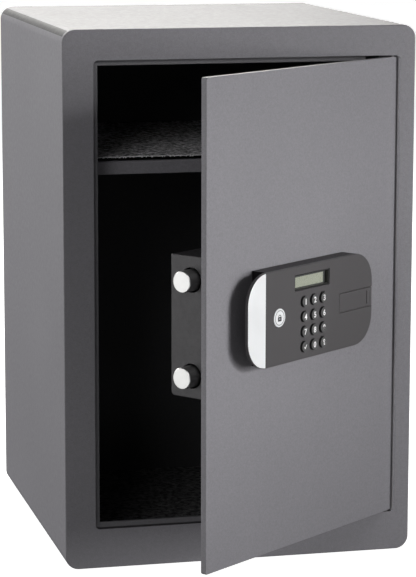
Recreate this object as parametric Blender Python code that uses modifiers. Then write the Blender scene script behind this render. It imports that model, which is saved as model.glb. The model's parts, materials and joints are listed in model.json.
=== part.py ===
"""In-room safe: a steel cabinet with a keypad door, motor-driven bolts and a carpeted shelf.

Frame: metres, +Z up. The origin is the centre of the cabinet's underside, the door faces -Y and its
hinge is on the +X side. The door and all it carries are modelled closed, in the frame of an empty on
the hinge axis, and the empty is turned to the open angle.
"""
import math

import bmesh
import bpy
from mathutils import Matrix, Vector

# ---------------------------------------------------------------- driving dimensions
BODY_WIDTH = 0.346
BODY_DEPTH = 0.360
BODY_HEIGHT = 0.520
BODY_RADIUS = 0.013
SHEET = 0.003
GAP = 0.0003                     # left between pieces that touch
ROUND_STEPS = 24                 # sides of a round piece

FRAME_THICKNESS = 0.0065
OPENING_LEFT = -0.143
OPENING_RIGHT = 0.157
OPENING_BOTTOM = 0.0388
OPENING_TOP = 0.4905
OPENING_RADIUS = 0.004
STOP_REACH = 0.005               # how far the door stop reaches into the opening
STOP_OVERLAP = 0.012             # how far it runs behind the frame
STOP_THICKNESS = 0.003
STOP_END = 0.125                 # the stop ends here, clear of the hinge

ANCHOR_RADIUS = 0.006
ANCHOR_SPREAD = 0.090            # anchor holes stand this far either side of the middle
BASE_ANCHOR_Y = 0.060
REAR_ANCHOR_Z = 0.300

HINGE_X = 0.150
HINGE_Y = -0.177
OPEN_ANGLE = math.radians(38.1)
PIN_RADIUS = 0.002
PIN_BORE = 0.0022
PIN_REACH = 0.008                # how far a pin enters the door and the frame
BRACKET_LEFT = 0.1425
BRACKET_RIGHT = 0.1595
BRACKET_DEPTH = 0.012

# The door, in the hinge frame: x from the axis (the free edge at -x), y from the axis (+y inwards)
DOOR_THICKNESS = 0.006
DOOR_FREE = -0.2916
DOOR_HINGE_EDGE = 0.0058
DOOR_BOTTOM = 0.0398
DOOR_TOP = 0.4893
DOOR_RADIUS = 0.002
DOOR_FRONT = -DOOR_THICKNESS / 2
DOOR_BACK = DOOR_THICKNESS / 2
CABLE_HOLE = (-0.185, 0.250)
CABLE_HOLE_RADIUS = 0.007

# The keypad housing on the front of the door
HOUSING_LEFT = -0.2544
HOUSING_RIGHT = -0.0591
HOUSING_BOTTOM = 0.2220
HOUSING_TOP = 0.3098
HOUSING_RADIUS = 0.028
GRIP_END = -0.2250               # left of this the face stands free of the door, as a finger grip
HOUSING_WALL = 0.0022
HOUSING_FACE_WALL = 0.003
FACE = DOOR_FRONT - 0.018        # y of the housing's front face
FACE_BACK = FACE + HOUSING_FACE_WALL
STRIP_INSET = 0.0010
STRIP_RIGHT = -0.2275
STRIP_THICKNESS = 0.0009
BADGE_CENTRE = (-0.207, 0.266)
BADGE_RADIUS = 0.0085
BADGE_THICKNESS = 0.0007
POCKET_DEPTH = 0.0012            # pockets in the face for the strip
LCD_LEFT = -0.1837
LCD_RIGHT = -0.1290
LCD_BOTTOM = 0.2870
LCD_TOP = 0.3019
LCD_BEZEL_WIDTH = 0.0012
LCD_DEPTH = 0.0039               # from the face to the back of the display bezel
WINDOW_THICKNESS = 0.001
DISPLAY_THICKNESS = 0.0025
KEY_RADIUS = 0.00515
KEY_HOLE_RADIUS = 0.00545
KEY_FLANGE_RADIUS = 0.0060
KEY_PROUD = 0.0023
KEY_TRAVEL = 0.0012
KEY_CHAMFER = 0.0005
KEY_COLUMNS = (-0.1690, -0.1544, -0.1398)
KEY_ROWS = (0.2759, 0.2618, 0.2477, 0.2336)
KEY_FLANGE_THICKNESS = 0.0010
MEMBRANE_LOW = (-0.1765, 0.2265)
MEMBRANE_HIGH = (-0.1325, 0.2825)
MEMBRANE_THICKNESS = 0.0010
KEYPAD_BOARD_LOW = (-0.2000, -0.0115, 0.2270)
KEYPAD_BOARD_HIGH = (-0.1230, -0.0099, 0.3050)
BACKPLATE_THICKNESS = 0.0017
KEY_NAMES = (("1", "2", "3"), ("4", "5", "6"), ("7", "8", "9"), ("confirm", "0", "lock"))
COVER_LEFT = -0.1120
COVER_RIGHT = -0.0595
COVER_BOTTOM = 0.2570
COVER_TOP = 0.2750
COVER_THICKNESS = 0.0018
COVER_RECESS = 0.0022
GRIP_X = -0.0672                 # the thumb ridge on the cover
GRIP_SIZE = (0.0022, 0.0011, 0.0130)

# The lock case on the back of the door
CASE_FREE = -0.265
CASE_HINGE = -0.074
CASE_BOTTOM = 0.1935
CASE_TOP = 0.3245
CASE_DEEP = 0.0587
CASE_WALL = 0.0015
CASE_RADIUS = 0.004
BOLT_RADIUS = 0.010
BOLT_HOLE_RADIUS = 0.0115
BOLT_Y = 0.0355
BOLT_ROWS = {"upper": 0.3025, "lower": 0.2140}
BOLT_END = -0.279
BOLT_ROOT = -0.2038
BOLT_THROW = 0.022
BOLT_CHAMFER = 0.0012
BAR_THICKNESS = 0.006
BAR_HALF_WIDTH = 0.010
BAR_OVERHANG = 0.0105
GUIDE_X = -0.2385
GUIDE_THICKNESS = 0.003

# The drive: a rack on the bolt bar, a motor pinion on it and the key's gear on the pinion
MODULE = 0.001
PRESSURE_ANGLE = math.radians(20)
BACKLASH = 0.00012               # taken off the thickness of each tooth
PINION_TEETH = 18
OVERRIDE_TEETH = 36
PINION_X = -0.125
DRIVE_Z = 0.266
RACK_Y = (0.0300, 0.0350)
PINION_Y = (0.0300, 0.0412)
OVERRIDE_GEAR_Y = (0.0362, 0.0412)
RACK_BASE_Z = 0.2480
RACK_TOOTH_COUNT = 11
PINION_SHAFT_RADIUS = 0.002
PINION_SHAFT_Y = (0.0190, 0.0460)
KEY_PLUG_X = PINION_X + MODULE * (PINION_TEETH + OVERRIDE_TEETH) / 2
PLUG_RADIUS = 0.0045
PLUG_SHAFT_RADIUS = 0.003
CYLINDER_RADIUS = 0.008
CYLINDER_Y = (-0.0165, 0.0240)
PLUG_Y = (-0.0170, 0.0270)
PLUG_SHAFT_END = 0.0460
KEYWAY = (0.0016, 0.0070, 0.0060)
GEARBOX_SIZE = (0.024, 0.0115, 0.025)
GEARBOX_Y = 0.02275
MOTOR_RADIUS = 0.010
MOTOR_LENGTH = 0.031
MOTOR_Y = 0.0150
BEARING_PLATE_Y = (0.0430, 0.0445)
BEARING_PLATE_LOW = (-0.137, 0.244)
BEARING_PLATE_HIGH = (-0.079, 0.288)
BEARING_PLATE_RADIUS = 0.003
LOCK_BOARD_LOW = (-0.1120, 0.0460, 0.2890)
LOCK_BOARD_HIGH = (-0.0790, 0.0476, 0.3205)

# The batteries and the service side of the lock case
CELL_RADIUS = 0.00715
CELL_LENGTH = 0.050
CELL_NIB = 0.0010
CELL_X = -0.1615
CELL_CENTRES = ((0.0340, 0.2086), (0.0340, 0.2239), (0.0492, 0.2086), (0.0492, 0.2239))
HOLDER_LOW = (-0.1920, 0.0250, 0.1975)
HOLDER_HIGH = (-0.1310, 0.0565, 0.2350)
HOLDER_WALL = 0.0015
BATTERY_DOOR_LOW = (-0.1930, CASE_DEEP + GAP, 0.1975)
BATTERY_DOOR_HIGH = (-0.1300, CASE_DEEP + GAP + CASE_WALL, 0.2350)
RESET_CENTRE = (-0.095, 0.305)
RESET_RADIUS = 0.0040
RESET_FLANGE = 0.0050
RESET_LENGTH = 0.0112
RESET_FLANGE_THICKNESS = 0.0015
RESET_BASE_Y = 0.0500

LEAD_RADIUS = 0.0015

# The cabinet's inside
STRIKE_X = -0.143                # the face that the bolts enter
STRIKE_THICKNESS = 0.0025
STRIKE_Y = (-0.1699, -0.1200)
STRIKE_HALF_HEIGHT = 0.075
SHELF_TOP = 0.3905
SHELF_LIP = 0.013
SHELF_SHEET = 0.0015
SHELF_FRONT = -0.135
SHELF_REAR = 0.172
SHELF_HALF_WIDTH = 0.1685
MAT_THICKNESS = 0.0035
FLOOR_MAT_FRONT = -0.155
BRACKET_LEG = 0.012
SHELF_BRACKET_SHEET = 0.0012

# ---------------------------------------------------------------- scene and materials
for stale in list(bpy.data.objects):
    bpy.data.objects.remove(stale)

parts = bpy.data.collections.new("in_room_safe")
cutters = bpy.data.collections.new("cutters")
for collection in (parts, cutters):
    bpy.context.scene.collection.children.link(collection)


def material(name, colour, roughness, metallic):
    """A plain Principled material."""
    made = bpy.data.materials.new(name)
    made.use_nodes = True
    shader = made.node_tree.nodes["Principled BSDF"]
    shader.inputs["Base Color"].default_value = (*colour, 1.0)
    shader.inputs["Roughness"].default_value = roughness
    shader.inputs["Metallic"].default_value = metallic
    return made


PAINT = material("grey_powder_coat", (0.20, 0.20, 0.21), 0.55, 0.0)
DARK_PAINT = material("dark_powder_coat", (0.06, 0.06, 0.062), 0.60, 0.0)
CHARCOAL = material("charcoal_plastic", (0.10, 0.10, 0.10), 0.45, 0.0)
BLACK = material("black_plastic", (0.02, 0.02, 0.02), 0.50, 0.0)
SILVER = material("silver_trim", (0.80, 0.80, 0.81), 0.30, 0.6)
WHITE = material("white_plastic", (0.80, 0.80, 0.80), 0.40, 0.0)
LCD_GREEN = material("display_grey_green", (0.36, 0.38, 0.30), 0.25, 0.0)
CLEAR = material("clear_window", (0.60, 0.62, 0.60), 0.05, 0.0)
RUBBER = material("key_rubber", (0.08, 0.08, 0.08), 0.60, 0.0)
BOARD = material("board_green", (0.03, 0.16, 0.06), 0.50, 0.0)
STEEL = material("zinc_steel", (0.60, 0.60, 0.58), 0.35, 1.0)
CHROME = material("chrome", (0.80, 0.80, 0.80), 0.12, 1.0)
BRASS = material("brass", (0.65, 0.50, 0.22), 0.30, 1.0)
CARPET = material("black_carpet", (0.012, 0.012, 0.012), 0.95, 0.0)
CELL = material("battery_wrap", (0.25, 0.25, 0.27), 0.35, 0.2)
RED = material("red_button", (0.50, 0.04, 0.03), 0.45, 0.0)


# ---------------------------------------------------------------- modelling helpers
def put(name, mesh, look, parent=None, location=(0, 0, 0), rotation=(0, 0, 0)):
    """Link a mesh as a part, in its parent's frame."""
    mesh.name = name
    thing = bpy.data.objects.new(name, mesh)
    thing.location = location
    thing.rotation_euler = rotation
    thing.parent = parent
    if look is None:
        cutters.objects.link(thing)
        thing.hide_render = True
        thing.display_type = "WIRE"
    else:
        parts.objects.link(thing)
        mesh.materials.append(look)
    return thing


def box(name, low, high, look, parent=None):
    """A box between two corners, with its origin at its centre."""
    low, high = Vector(low), Vector(high)
    shape = bmesh.new()
    bmesh.ops.create_cube(shape, size=1.0, matrix=Matrix.Diagonal((*(high - low), 1.0)))
    mesh = bpy.data.meshes.new(name)
    shape.to_mesh(mesh)
    shape.free()
    return put(name, mesh, look, parent, (low + high) / 2)


# How an outline's own plane is turned: its normal lies along -Y, +X or +Z of the parent
ACROSS_Y = (math.pi / 2, 0, 0)
ALONG_X = (math.pi / 2, 0, math.pi / 2)
ALONG_Z = (0, 0, 0)


def prism(name, loops, start, end, look, turn=ACROSS_Y, parent=None, origin=(0, 0)):
    """A flat outline with holes, thickened from start to end along the parent's Y, X or Z."""
    curve = bpy.data.curves.new(name, "CURVE")
    curve.dimensions = "2D"
    curve.fill_mode = "BOTH"
    curve.extrude = (end - start) / 2
    for loop in loops:
        spline = curve.splines.new("POLY")
        spline.points.add(len(loop) - 1)
        spline.use_cyclic_u = True
        for point, (u, v) in zip(spline.points, loop):
            point.co = (u - origin[0], v - origin[1], 0, 1)
    guide = bpy.data.objects.new(name + "_outline", curve)
    bpy.context.scene.collection.objects.link(guide)
    view = bpy.context.evaluated_depsgraph_get()
    mesh = bpy.data.meshes.new_from_object(guide.evaluated_get(view))
    bpy.data.objects.remove(guide)
    shape = bmesh.new()
    shape.from_mesh(mesh)
    bmesh.ops.remove_doubles(shape, verts=shape.verts, dist=1e-6)
    shape.to_mesh(mesh)
    shape.free()
    mesh.materials.clear()
    middle = (start + end) / 2
    place = {ACROSS_Y: (origin[0], middle, origin[1]),
             ALONG_X: (middle, origin[0], origin[1]),
             ALONG_Z: (origin[0], origin[1], middle)}[turn]
    return put(name, mesh, look, parent, place, turn)


def turned(name, profile, look, parent=None, location=(0, 0, 0), rotation=(0, 0, 0), steps=ROUND_STEPS):
    """A turned solid: a profile of (radius, height) from the top of its axis to the bottom."""
    mesh = bpy.data.meshes.new(name)
    mesh.from_pydata([(radius, 0, height) for radius, height in profile],
                     [(i, i + 1) for i in range(len(profile) - 1)], [])
    thing = put(name, mesh, look, parent, location, rotation)
    screw = thing.modifiers.new("turn", "SCREW")
    screw.steps = screw.render_steps = steps
    screw.use_merge_vertices = True
    screw.merge_threshold = 1e-6
    return thing


def rod_profile(radius, low, high, chamfer=0.0):
    """The profile of a plain rod, chamfered at its top end if asked."""
    top = [(0, high), (radius - chamfer, high)]
    if chamfer:
        top.append((radius, high - chamfer))
    return top + [(radius, low), (0, low)]


# Turns a solid's +Z axis to the parent's +Y or -X
TO_PLUS_Y = (-math.pi / 2, 0, 0)
TO_MINUS_Y = (math.pi / 2, 0, 0)
TO_MINUS_X = (0, -math.pi / 2, 0)
TO_PLUS_X = (0, math.pi / 2, 0)


def cut(target, *tools):
    """Take tools away from target, in order."""
    for tool in tools:
        step = target.modifiers.new("cut " + tool.name, "BOOLEAN")
        step.operation = "DIFFERENCE"
        step.solver = "EXACT"
        step.object = tool


def bore(name, centre, radius, length, rotation, parent=None, steps=ROUND_STEPS):
    """A round cutter centred on a point, along its own turned Z axis."""
    profile = rod_profile(radius, -length / 2, length / 2)
    return turned(name, profile, None, parent, centre, rotation, steps)


def circle(centre, radius, steps=ROUND_STEPS):
    """Points round a circle."""
    return [(centre[0] + radius * math.cos(math.tau * i / steps),
             centre[1] + radius * math.sin(math.tau * i / steps)) for i in range(steps)]


def rounded(left, bottom, right, top, radii, steps=6):
    """A rectangle with round corners: one radius, or four from the lower left round to the upper left."""
    if not isinstance(radii, tuple):
        radii = (radii,) * 4
    corners = ((left, bottom, 1, 1), (right, bottom, -1, 1), (right, top, -1, -1), (left, top, 1, -1))
    points = []
    for quarter, ((x, y, inward_x, inward_y), radius) in enumerate(zip(corners, radii)):
        centre = (x + inward_x * radius, y + inward_y * radius)
        if radius == 0:
            points.append(centre)
            continue
        for i in range(steps + 1):
            angle = math.pi + math.pi / 2 * (quarter + i / steps)
            points.append((centre[0] + radius * math.cos(angle), centre[1] + radius * math.sin(angle)))
    return points


# ---------------------------------------------------------------- cabinet
FRONT = -BODY_DEPTH / 2
REAR = BODY_DEPTH / 2
SIDE = BODY_WIDTH / 2
FRAME_BACK = FRONT + FRAME_THICKNESS
INSIDE = SIDE - SHEET


def body_outline(inset=0.0):
    """The cabinet's outline seen from the front, drawn in by an inset."""
    return rounded(-SIDE + inset, inset, SIDE - inset, BODY_HEIGHT - inset, BODY_RADIUS - inset)


def make_shell():
    """The wrapped sides, top and base, the rear panel and the front frame."""
    wrapper = prism("body_wrapper", [body_outline(), body_outline(SHEET)],
                    FRAME_BACK + GAP, REAR - SHEET - GAP, PAINT)
    for side in (-1, 1):
        hole = bore("base_anchor_cutter", (side * ANCHOR_SPREAD, BASE_ANCHOR_Y, SHEET / 2),
                    ANCHOR_RADIUS, 4 * SHEET, (0, 0, 0))
        cut(wrapper, hole)
    rear_holes = [circle((side * ANCHOR_SPREAD, REAR_ANCHOR_Z), ANCHOR_RADIUS) for side in (-1, 1)]
    prism("rear_panel", [body_outline(), *rear_holes], REAR - SHEET, REAR, PAINT)
    doorway = rounded(OPENING_LEFT, OPENING_BOTTOM, OPENING_RIGHT, OPENING_TOP, OPENING_RADIUS, 4)
    frame = prism("front_frame", [body_outline(), doorway], FRONT, FRAME_BACK, PAINT)
    for height in (OPENING_TOP, OPENING_BOTTOM):
        hole = bore("frame_pin_cutter", (HINGE_X, HINGE_Y, height), PIN_BORE,
                    2 * (PIN_REACH + GAP), (0, 0, 0))
        cut(frame, hole)


def make_door_stop():
    """A flat stop behind the frame on three sides; it ends short of the hinge."""
    outer = (OPENING_LEFT - STOP_OVERLAP, OPENING_BOTTOM - STOP_OVERLAP, OPENING_TOP + STOP_OVERLAP)
    inner = (OPENING_LEFT + STOP_REACH, OPENING_BOTTOM + STOP_REACH, OPENING_TOP - STOP_REACH)
    outline = [(outer[0], outer[1]), (STOP_END, outer[1]), (STOP_END, inner[1]), (inner[0], inner[1]),
               (inner[0], inner[2]), (STOP_END, inner[2]), (STOP_END, outer[2]), (outer[0], outer[2])]
    front = FRAME_BACK + GAP
    prism("door_stop_frame", [outline], front, front + STOP_THICKNESS, PAINT)


def make_hinge():
    """The two pivot pins and the blocks behind the frame that back them."""
    spans = {"upper": (DOOR_TOP - PIN_REACH, OPENING_TOP + PIN_REACH),
             "lower": (OPENING_BOTTOM - PIN_REACH, DOOR_BOTTOM + PIN_REACH)}
    blocks = {"upper": (OPENING_TOP - STOP_REACH, BODY_HEIGHT - SHEET - 3 * GAP),
              "lower": (SHEET + 3 * GAP, OPENING_BOTTOM + STOP_REACH)}
    swing = math.hypot(DOOR_HINGE_EDGE, DOOR_BACK)
    front = HINGE_Y + swing + GAP
    for end, (low, high) in spans.items():
        profile = rod_profile(PIN_RADIUS, 0, high - low)
        turned("hinge_pin_" + end, profile, STEEL, None, (HINGE_X, HINGE_Y, low), steps=16)
        low, high = blocks[end]
        box("hinge_bracket_" + end, (BRACKET_LEFT, front, low),
            (BRACKET_RIGHT, front + BRACKET_DEPTH, high), PAINT)


def make_strike():
    """The angle that the bolts enter, with a hole for each."""
    near, far = STRIKE_Y
    wall = -INSIDE + 2 * GAP
    back = STRIKE_X - STRIKE_THICKNESS
    outline = [(back, near), (STRIKE_X, near), (STRIKE_X, far), (wall, far),
               (wall, far - STRIKE_THICKNESS), (back, far - STRIKE_THICKNESS)]
    middle = sum(BOLT_ROWS.values()) / 2
    strike = prism("strike_channel", [outline], middle - STRIKE_HALF_HEIGHT, middle + STRIKE_HALF_HEIGHT,
                   DARK_PAINT, ALONG_Z)
    for end, height in BOLT_ROWS.items():
        centre = (STRIKE_X, HINGE_Y + BOLT_Y, height)
        cut(strike, bore("strike_cutter_" + end, centre, BOLT_HOLE_RADIUS, 4 * STRIKE_THICKNESS, TO_PLUS_X))


def make_interior():
    """The shelf on its two angles, its carpet and the carpet on the floor."""
    skin = SHELF_SHEET
    under = SHELF_TOP - skin
    low = SHELF_TOP - SHELF_LIP
    profile = [(SHELF_FRONT, low), (SHELF_FRONT + skin, low), (SHELF_FRONT + skin, under),
               (SHELF_REAR - skin, under), (SHELF_REAR - skin, low), (SHELF_REAR, low),
               (SHELF_REAR, SHELF_TOP), (SHELF_FRONT, SHELF_TOP)]
    prism("shelf", [profile], -SHELF_HALF_WIDTH, SHELF_HALF_WIDTH, PAINT, ALONG_X)
    mat_base = SHELF_TOP + GAP
    box("shelf_mat", (-SHELF_HALF_WIDTH, SHELF_FRONT, mat_base),
        (SHELF_HALF_WIDTH, SHELF_REAR, mat_base + MAT_THICKNESS), CARPET)
    top = under - GAP
    for side, name in ((-1, "left"), (1, "right")):
        wall = side * (INSIDE - GAP)
        leg = side * (INSIDE - GAP - BRACKET_LEG)
        inner = side * (INSIDE - GAP - SHELF_BRACKET_SHEET)
        angle = [(wall, top), (leg, top), (leg, top - SHELF_BRACKET_SHEET),
                 (inner, top - SHELF_BRACKET_SHEET), (inner, top - BRACKET_LEG), (wall, top - BRACKET_LEG)]
        prism("shelf_bracket_" + name, [angle], SHELF_FRONT + 4 * skin, SHELF_REAR - 4 * skin, DARK_PAINT)
    floor = SHEET + GAP
    flat = SIDE - BODY_RADIUS
    box("floor_mat", (-flat, FLOOR_MAT_FRONT, floor), (flat, SHELF_REAR, floor + MAT_THICKNESS), CARPET)


# ---------------------------------------------------------------- door and keypad
hinge = bpy.data.objects.new("door_hinge_axis", None)
hinge.location = (HINGE_X, HINGE_Y, 0)
hinge.rotation_euler = (0, 0, OPEN_ANGLE)
parts.objects.link(hinge)


def make_door():
    """The door plate, bored for its two pins, the override lock and the cable."""
    outline = rounded(DOOR_FREE, DOOR_BOTTOM, DOOR_HINGE_EDGE, DOOR_TOP, DOOR_RADIUS, 3)
    holes = [circle((KEY_PLUG_X, DRIVE_Z), CYLINDER_RADIUS + GAP),
             circle(CABLE_HOLE, CABLE_HOLE_RADIUS)]
    door = prism("door_plate", [outline, *holes], DOOR_FRONT, DOOR_BACK, PAINT, parent=hinge)
    for height in (DOOR_TOP, DOOR_BOTTOM):
        hole = bore("door_pin_cutter", (0, 0, height), PIN_BORE, 2 * (PIN_REACH + GAP), (0, 0, 0), hinge)
        cut(door, hole)


def face_outline():
    """The outline of the keypad housing's face."""
    return rounded(HOUSING_LEFT, HOUSING_BOTTOM, HOUSING_RIGHT, HOUSING_TOP, HOUSING_RADIUS, 12)


def base_outline(inset=0.0, steps=12):
    """The part of the housing that reaches the door: square at its left end, beside the finger grip."""
    radius = HOUSING_RADIUS - inset
    return rounded(GRIP_END + inset, HOUSING_BOTTOM + inset, HOUSING_RIGHT - inset, HOUSING_TOP - inset,
                   (0, radius, radius, 0), steps)


def strip_outline(spread=0.0):
    """The trim strip: the left end of the face's outline, cut off straight; spread widens it."""
    inset = STRIP_INSET - spread
    radius = HOUSING_RADIUS - inset
    right = STRIP_RIGHT + spread
    whole = rounded(HOUSING_LEFT + inset, HOUSING_BOTTOM + inset, right + radius, HOUSING_TOP - inset,
                    (radius, 0, 0, radius), 10)
    clipped = [(round(min(x, right), 7), round(z, 7)) for x, z in whole]
    return list(dict.fromkeys(clipped))


def make_housing():
    """The keypad housing: a shell with a free-standing grip, and pockets and holes in its face."""
    shell = prism("keypad_housing", [face_outline()], FACE, DOOR_FRONT - GAP, CHARCOAL, parent=hinge)
    cavity = prism("housing_cavity_cutter", [base_outline(HOUSING_WALL)], FACE_BACK,
                   DOOR_FRONT + HOUSING_WALL, None, parent=hinge)
    grip = box("grip_cutter", (HOUSING_LEFT - HOUSING_WALL, FACE_BACK, HOUSING_BOTTOM - HOUSING_WALL),
               (GRIP_END, DOOR_FRONT + HOUSING_WALL, HOUSING_TOP + HOUSING_WALL), None, hinge)
    air = FACE - HOUSING_WALL
    strip = prism("strip_cutter", [strip_outline(GAP)], air, FACE + POCKET_DEPTH, None, parent=hinge)
    badge = bore("badge_cutter", (BADGE_CENTRE[0], air, BADGE_CENTRE[1]), BADGE_RADIUS + GAP,
                 2 * (HOUSING_WALL + BADGE_THICKNESS), TO_PLUS_Y, hinge)
    display = box("display_cutter", (LCD_LEFT, air, LCD_BOTTOM),
                  (LCD_RIGHT, FACE_BACK + HOUSING_WALL, LCD_TOP), None, hinge)
    recess = box("cover_cutter", (COVER_LEFT - GAP, air, COVER_BOTTOM - GAP),
                 (HOUSING_RIGHT + HOUSING_WALL, FACE + COVER_RECESS, COVER_TOP + GAP), None, hinge)
    lock = bore("lock_cutter", (KEY_PLUG_X, FACE, DRIVE_Z), CYLINDER_RADIUS + GAP,
                4 * HOUSING_FACE_WALL, TO_PLUS_Y, hinge)
    cut(shell, cavity, grip, strip, badge, display, recess, lock)
    for height in KEY_ROWS:
        for across in KEY_COLUMNS:
            cut(shell, bore("key_cutter", (across, FACE, height), KEY_HOLE_RADIUS,
                            4 * HOUSING_FACE_WALL, TO_PLUS_Y, hinge, 20))


def make_face_trim():
    """The strip, the badge, the display and its bezel."""
    strip_back = FACE + POCKET_DEPTH - GAP
    prism("trim_strip", [strip_outline()], strip_back - STRIP_THICKNESS, strip_back, SILVER, parent=hinge)
    badge_back = FACE + BADGE_THICKNESS - GAP
    prism("badge", [circle(BADGE_CENTRE, BADGE_RADIUS)], badge_back - BADGE_THICKNESS, badge_back, WHITE,
          parent=hinge, origin=BADGE_CENTRE)
    left, right = LCD_LEFT + GAP, LCD_RIGHT - GAP
    low, high = LCD_BOTTOM + GAP, LCD_TOP - GAP
    width = LCD_BEZEL_WIDTH
    rim = rounded(left, low, right, high, 0)
    view = rounded(left + width, low + width, right - width, high - width, 0)
    bezel_back = FACE + LCD_DEPTH
    prism("display_bezel", [rim, view], FACE + GAP, bezel_back, BLACK, parent=hinge)
    front = bezel_back + GAP
    back = front + WINDOW_THICKNESS
    box("display_window", (left - width, front, low - width), (right + width, back, high + width),
        CLEAR, hinge)
    front = back + GAP
    margin = 2 * width
    box("display_module", (left - margin, front, low - margin),
        (right + margin, front + DISPLAY_THICKNESS, high + margin), LCD_GREEN, hinge)


def make_keys():
    """Twelve keys: turned caps with a retaining flange, each on its own press axis."""
    flange_front = FACE_BACK + GAP
    key_bottom = flange_front + KEY_FLANGE_THICKNESS
    top = key_bottom - (FACE - KEY_PROUD)
    profile = [(0, top), (KEY_RADIUS - KEY_CHAMFER, top), (KEY_RADIUS, top - KEY_CHAMFER),
               (KEY_RADIUS, key_bottom - flange_front), (KEY_FLANGE_RADIUS, key_bottom - flange_front),
               (KEY_FLANGE_RADIUS, 0), (0, 0)]
    for height, names in zip(KEY_ROWS, KEY_NAMES):
        for across, name in zip(KEY_COLUMNS, names):
            turned("key_" + name, profile, RUBBER, hinge, (across, key_bottom, height), TO_MINUS_Y, 20)
    mat = key_bottom + KEY_TRAVEL + GAP
    (left, low), (right, high) = MEMBRANE_LOW, MEMBRANE_HIGH
    box("keypad_membrane", (left, mat, low), (right, mat + MEMBRANE_THICKNESS, high), BLACK, hinge)


def make_electronics():
    """The board behind the keys and the plate that closes the housing's back."""
    box("circuit_board", KEYPAD_BOARD_LOW, KEYPAD_BOARD_HIGH, BOARD, hinge)
    holes = [circle((KEY_PLUG_X, DRIVE_Z), CYLINDER_RADIUS + GAP), circle(CABLE_HOLE, CABLE_HOLE_RADIUS)]
    prism("keypad_backplate", [base_outline(HOUSING_WALL + 2 * GAP, 8), *holes],
          DOOR_FRONT - GAP - BACKPLATE_THICKNESS, DOOR_FRONT - GAP, BLACK, parent=hinge)


def make_override():
    """The sliding cover, the lock cylinder and its plug with the override gear."""
    cover_back = FACE + COVER_THICKNESS
    cover = prism("override_cover", [rounded(COVER_LEFT, COVER_BOTTOM, COVER_RIGHT, COVER_TOP, 0.001, 2)],
                  FACE, cover_back, CHARCOAL, parent=hinge)
    half, proud, tall = GRIP_SIZE[0] / 2, GRIP_SIZE[1], GRIP_SIZE[2]
    middle = (COVER_BOTTOM + COVER_TOP) / 2
    ridge = box("grip_ridge", (GRIP_X - half, FACE - proud, middle - tall / 2),
                (GRIP_X + half, FACE + proud / 2, middle + tall / 2), None, hinge)
    join = cover.modifiers.new("ridge", "BOOLEAN")
    join.operation = "UNION"
    join.object = ridge
    length = CYLINDER_Y[1] - CYLINDER_Y[0]
    bore_radius = PLUG_RADIUS + GAP
    tube = [(CYLINDER_RADIUS, length), (CYLINDER_RADIUS, 0), (bore_radius, 0), (bore_radius, length),
            (CYLINDER_RADIUS, length)]
    turned("lock_cylinder", tube, CHROME, hinge, (KEY_PLUG_X, CYLINDER_Y[0], DRIVE_Z), TO_PLUS_Y)
    start = PLUG_Y[0]
    shoulder = PLUG_Y[1] - start
    end = PLUG_SHAFT_END - start
    profile = [(0, end), (PLUG_SHAFT_RADIUS, end), (PLUG_SHAFT_RADIUS, shoulder), (PLUG_RADIUS, shoulder),
               (PLUG_RADIUS, 0), (0, 0)]
    plug = turned("key_plug", profile, BRASS, hinge, (KEY_PLUG_X, start, DRIVE_Z), TO_PLUS_Y)
    wide, tall, deep = KEYWAY
    cut(plug, box("keyway_cutter", (KEY_PLUG_X - wide / 2, start - deep, DRIVE_Z - tall / 2),
                  (KEY_PLUG_X + wide / 2, start + deep, DRIVE_Z + tall / 2), None, hinge))
    gear = gear_outline(OVERRIDE_TEETH, (KEY_PLUG_X, DRIVE_Z), 0.0)
    prism("override_gear", [gear, circle((KEY_PLUG_X, DRIVE_Z), PLUG_SHAFT_RADIUS + GAP, 16)],
          *OVERRIDE_GEAR_Y, BRASS, parent=hinge, origin=(KEY_PLUG_X, DRIVE_Z))


# ---------------------------------------------------------------- gears
def involute(angle):
    """The involute function of a pressure angle."""
    return math.tan(angle) - angle


def gear_outline(teeth, centre, phase, flank_steps=3):
    """An involute spur gear with a tooth pointing at the phase angle."""
    pitch = MODULE * teeth / 2
    base = pitch * math.cos(PRESSURE_ANGLE)
    root, tip = pitch - 1.25 * MODULE, pitch + MODULE
    half_pitch_angle = (math.pi * MODULE / 2 - BACKLASH) / (2 * pitch)
    start = max(root, base)
    flank = []
    for i in range(flank_steps + 1):
        radius = start + (tip - start) * i / flank_steps
        spread = involute(math.acos(min(1.0, base / radius)))
        flank.append((radius, half_pitch_angle + involute(PRESSURE_ANGLE) - spread))
    if start > root:
        flank.insert(0, (root, flank[0][1]))
    points = []
    for tooth in range(teeth):
        middle = phase + math.tau * tooth / teeth
        sides = [(radius, middle - half) for radius, half in flank]
        sides += [(radius, middle + half) for radius, half in reversed(flank)]
        points += [(centre[0] + radius * math.cos(angle), centre[1] + radius * math.sin(angle))
                   for radius, angle in sides]
    return points


def rack_outline():
    """The rack: a bar with straight-sided teeth, a gap between two of them under the pinion."""
    pitch = math.pi * MODULE
    line = DRIVE_Z - MODULE * PINION_TEETH / 2
    tip, root = line + MODULE, line - 1.25 * MODULE
    half = pitch / 4 - BACKLASH / 2
    lean = math.tan(PRESSURE_ANGLE)
    start = BOLT_ROOT + GAP + BAR_THICKNESS + GAP
    first = PINION_X - 1.5 * pitch
    last = first + (RACK_TOOTH_COUNT - 1) * pitch + pitch / 2
    points = [(start, RACK_BASE_Z), (last, RACK_BASE_Z), (last, root)]
    for tooth in reversed(range(RACK_TOOTH_COUNT)):
        middle = first + tooth * pitch
        low, high = half + 1.25 * MODULE * lean, half - MODULE * lean
        points += [(middle + low, root), (middle + high, tip), (middle - high, tip), (middle - low, root)]
    return points + [(start, root)]


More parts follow.
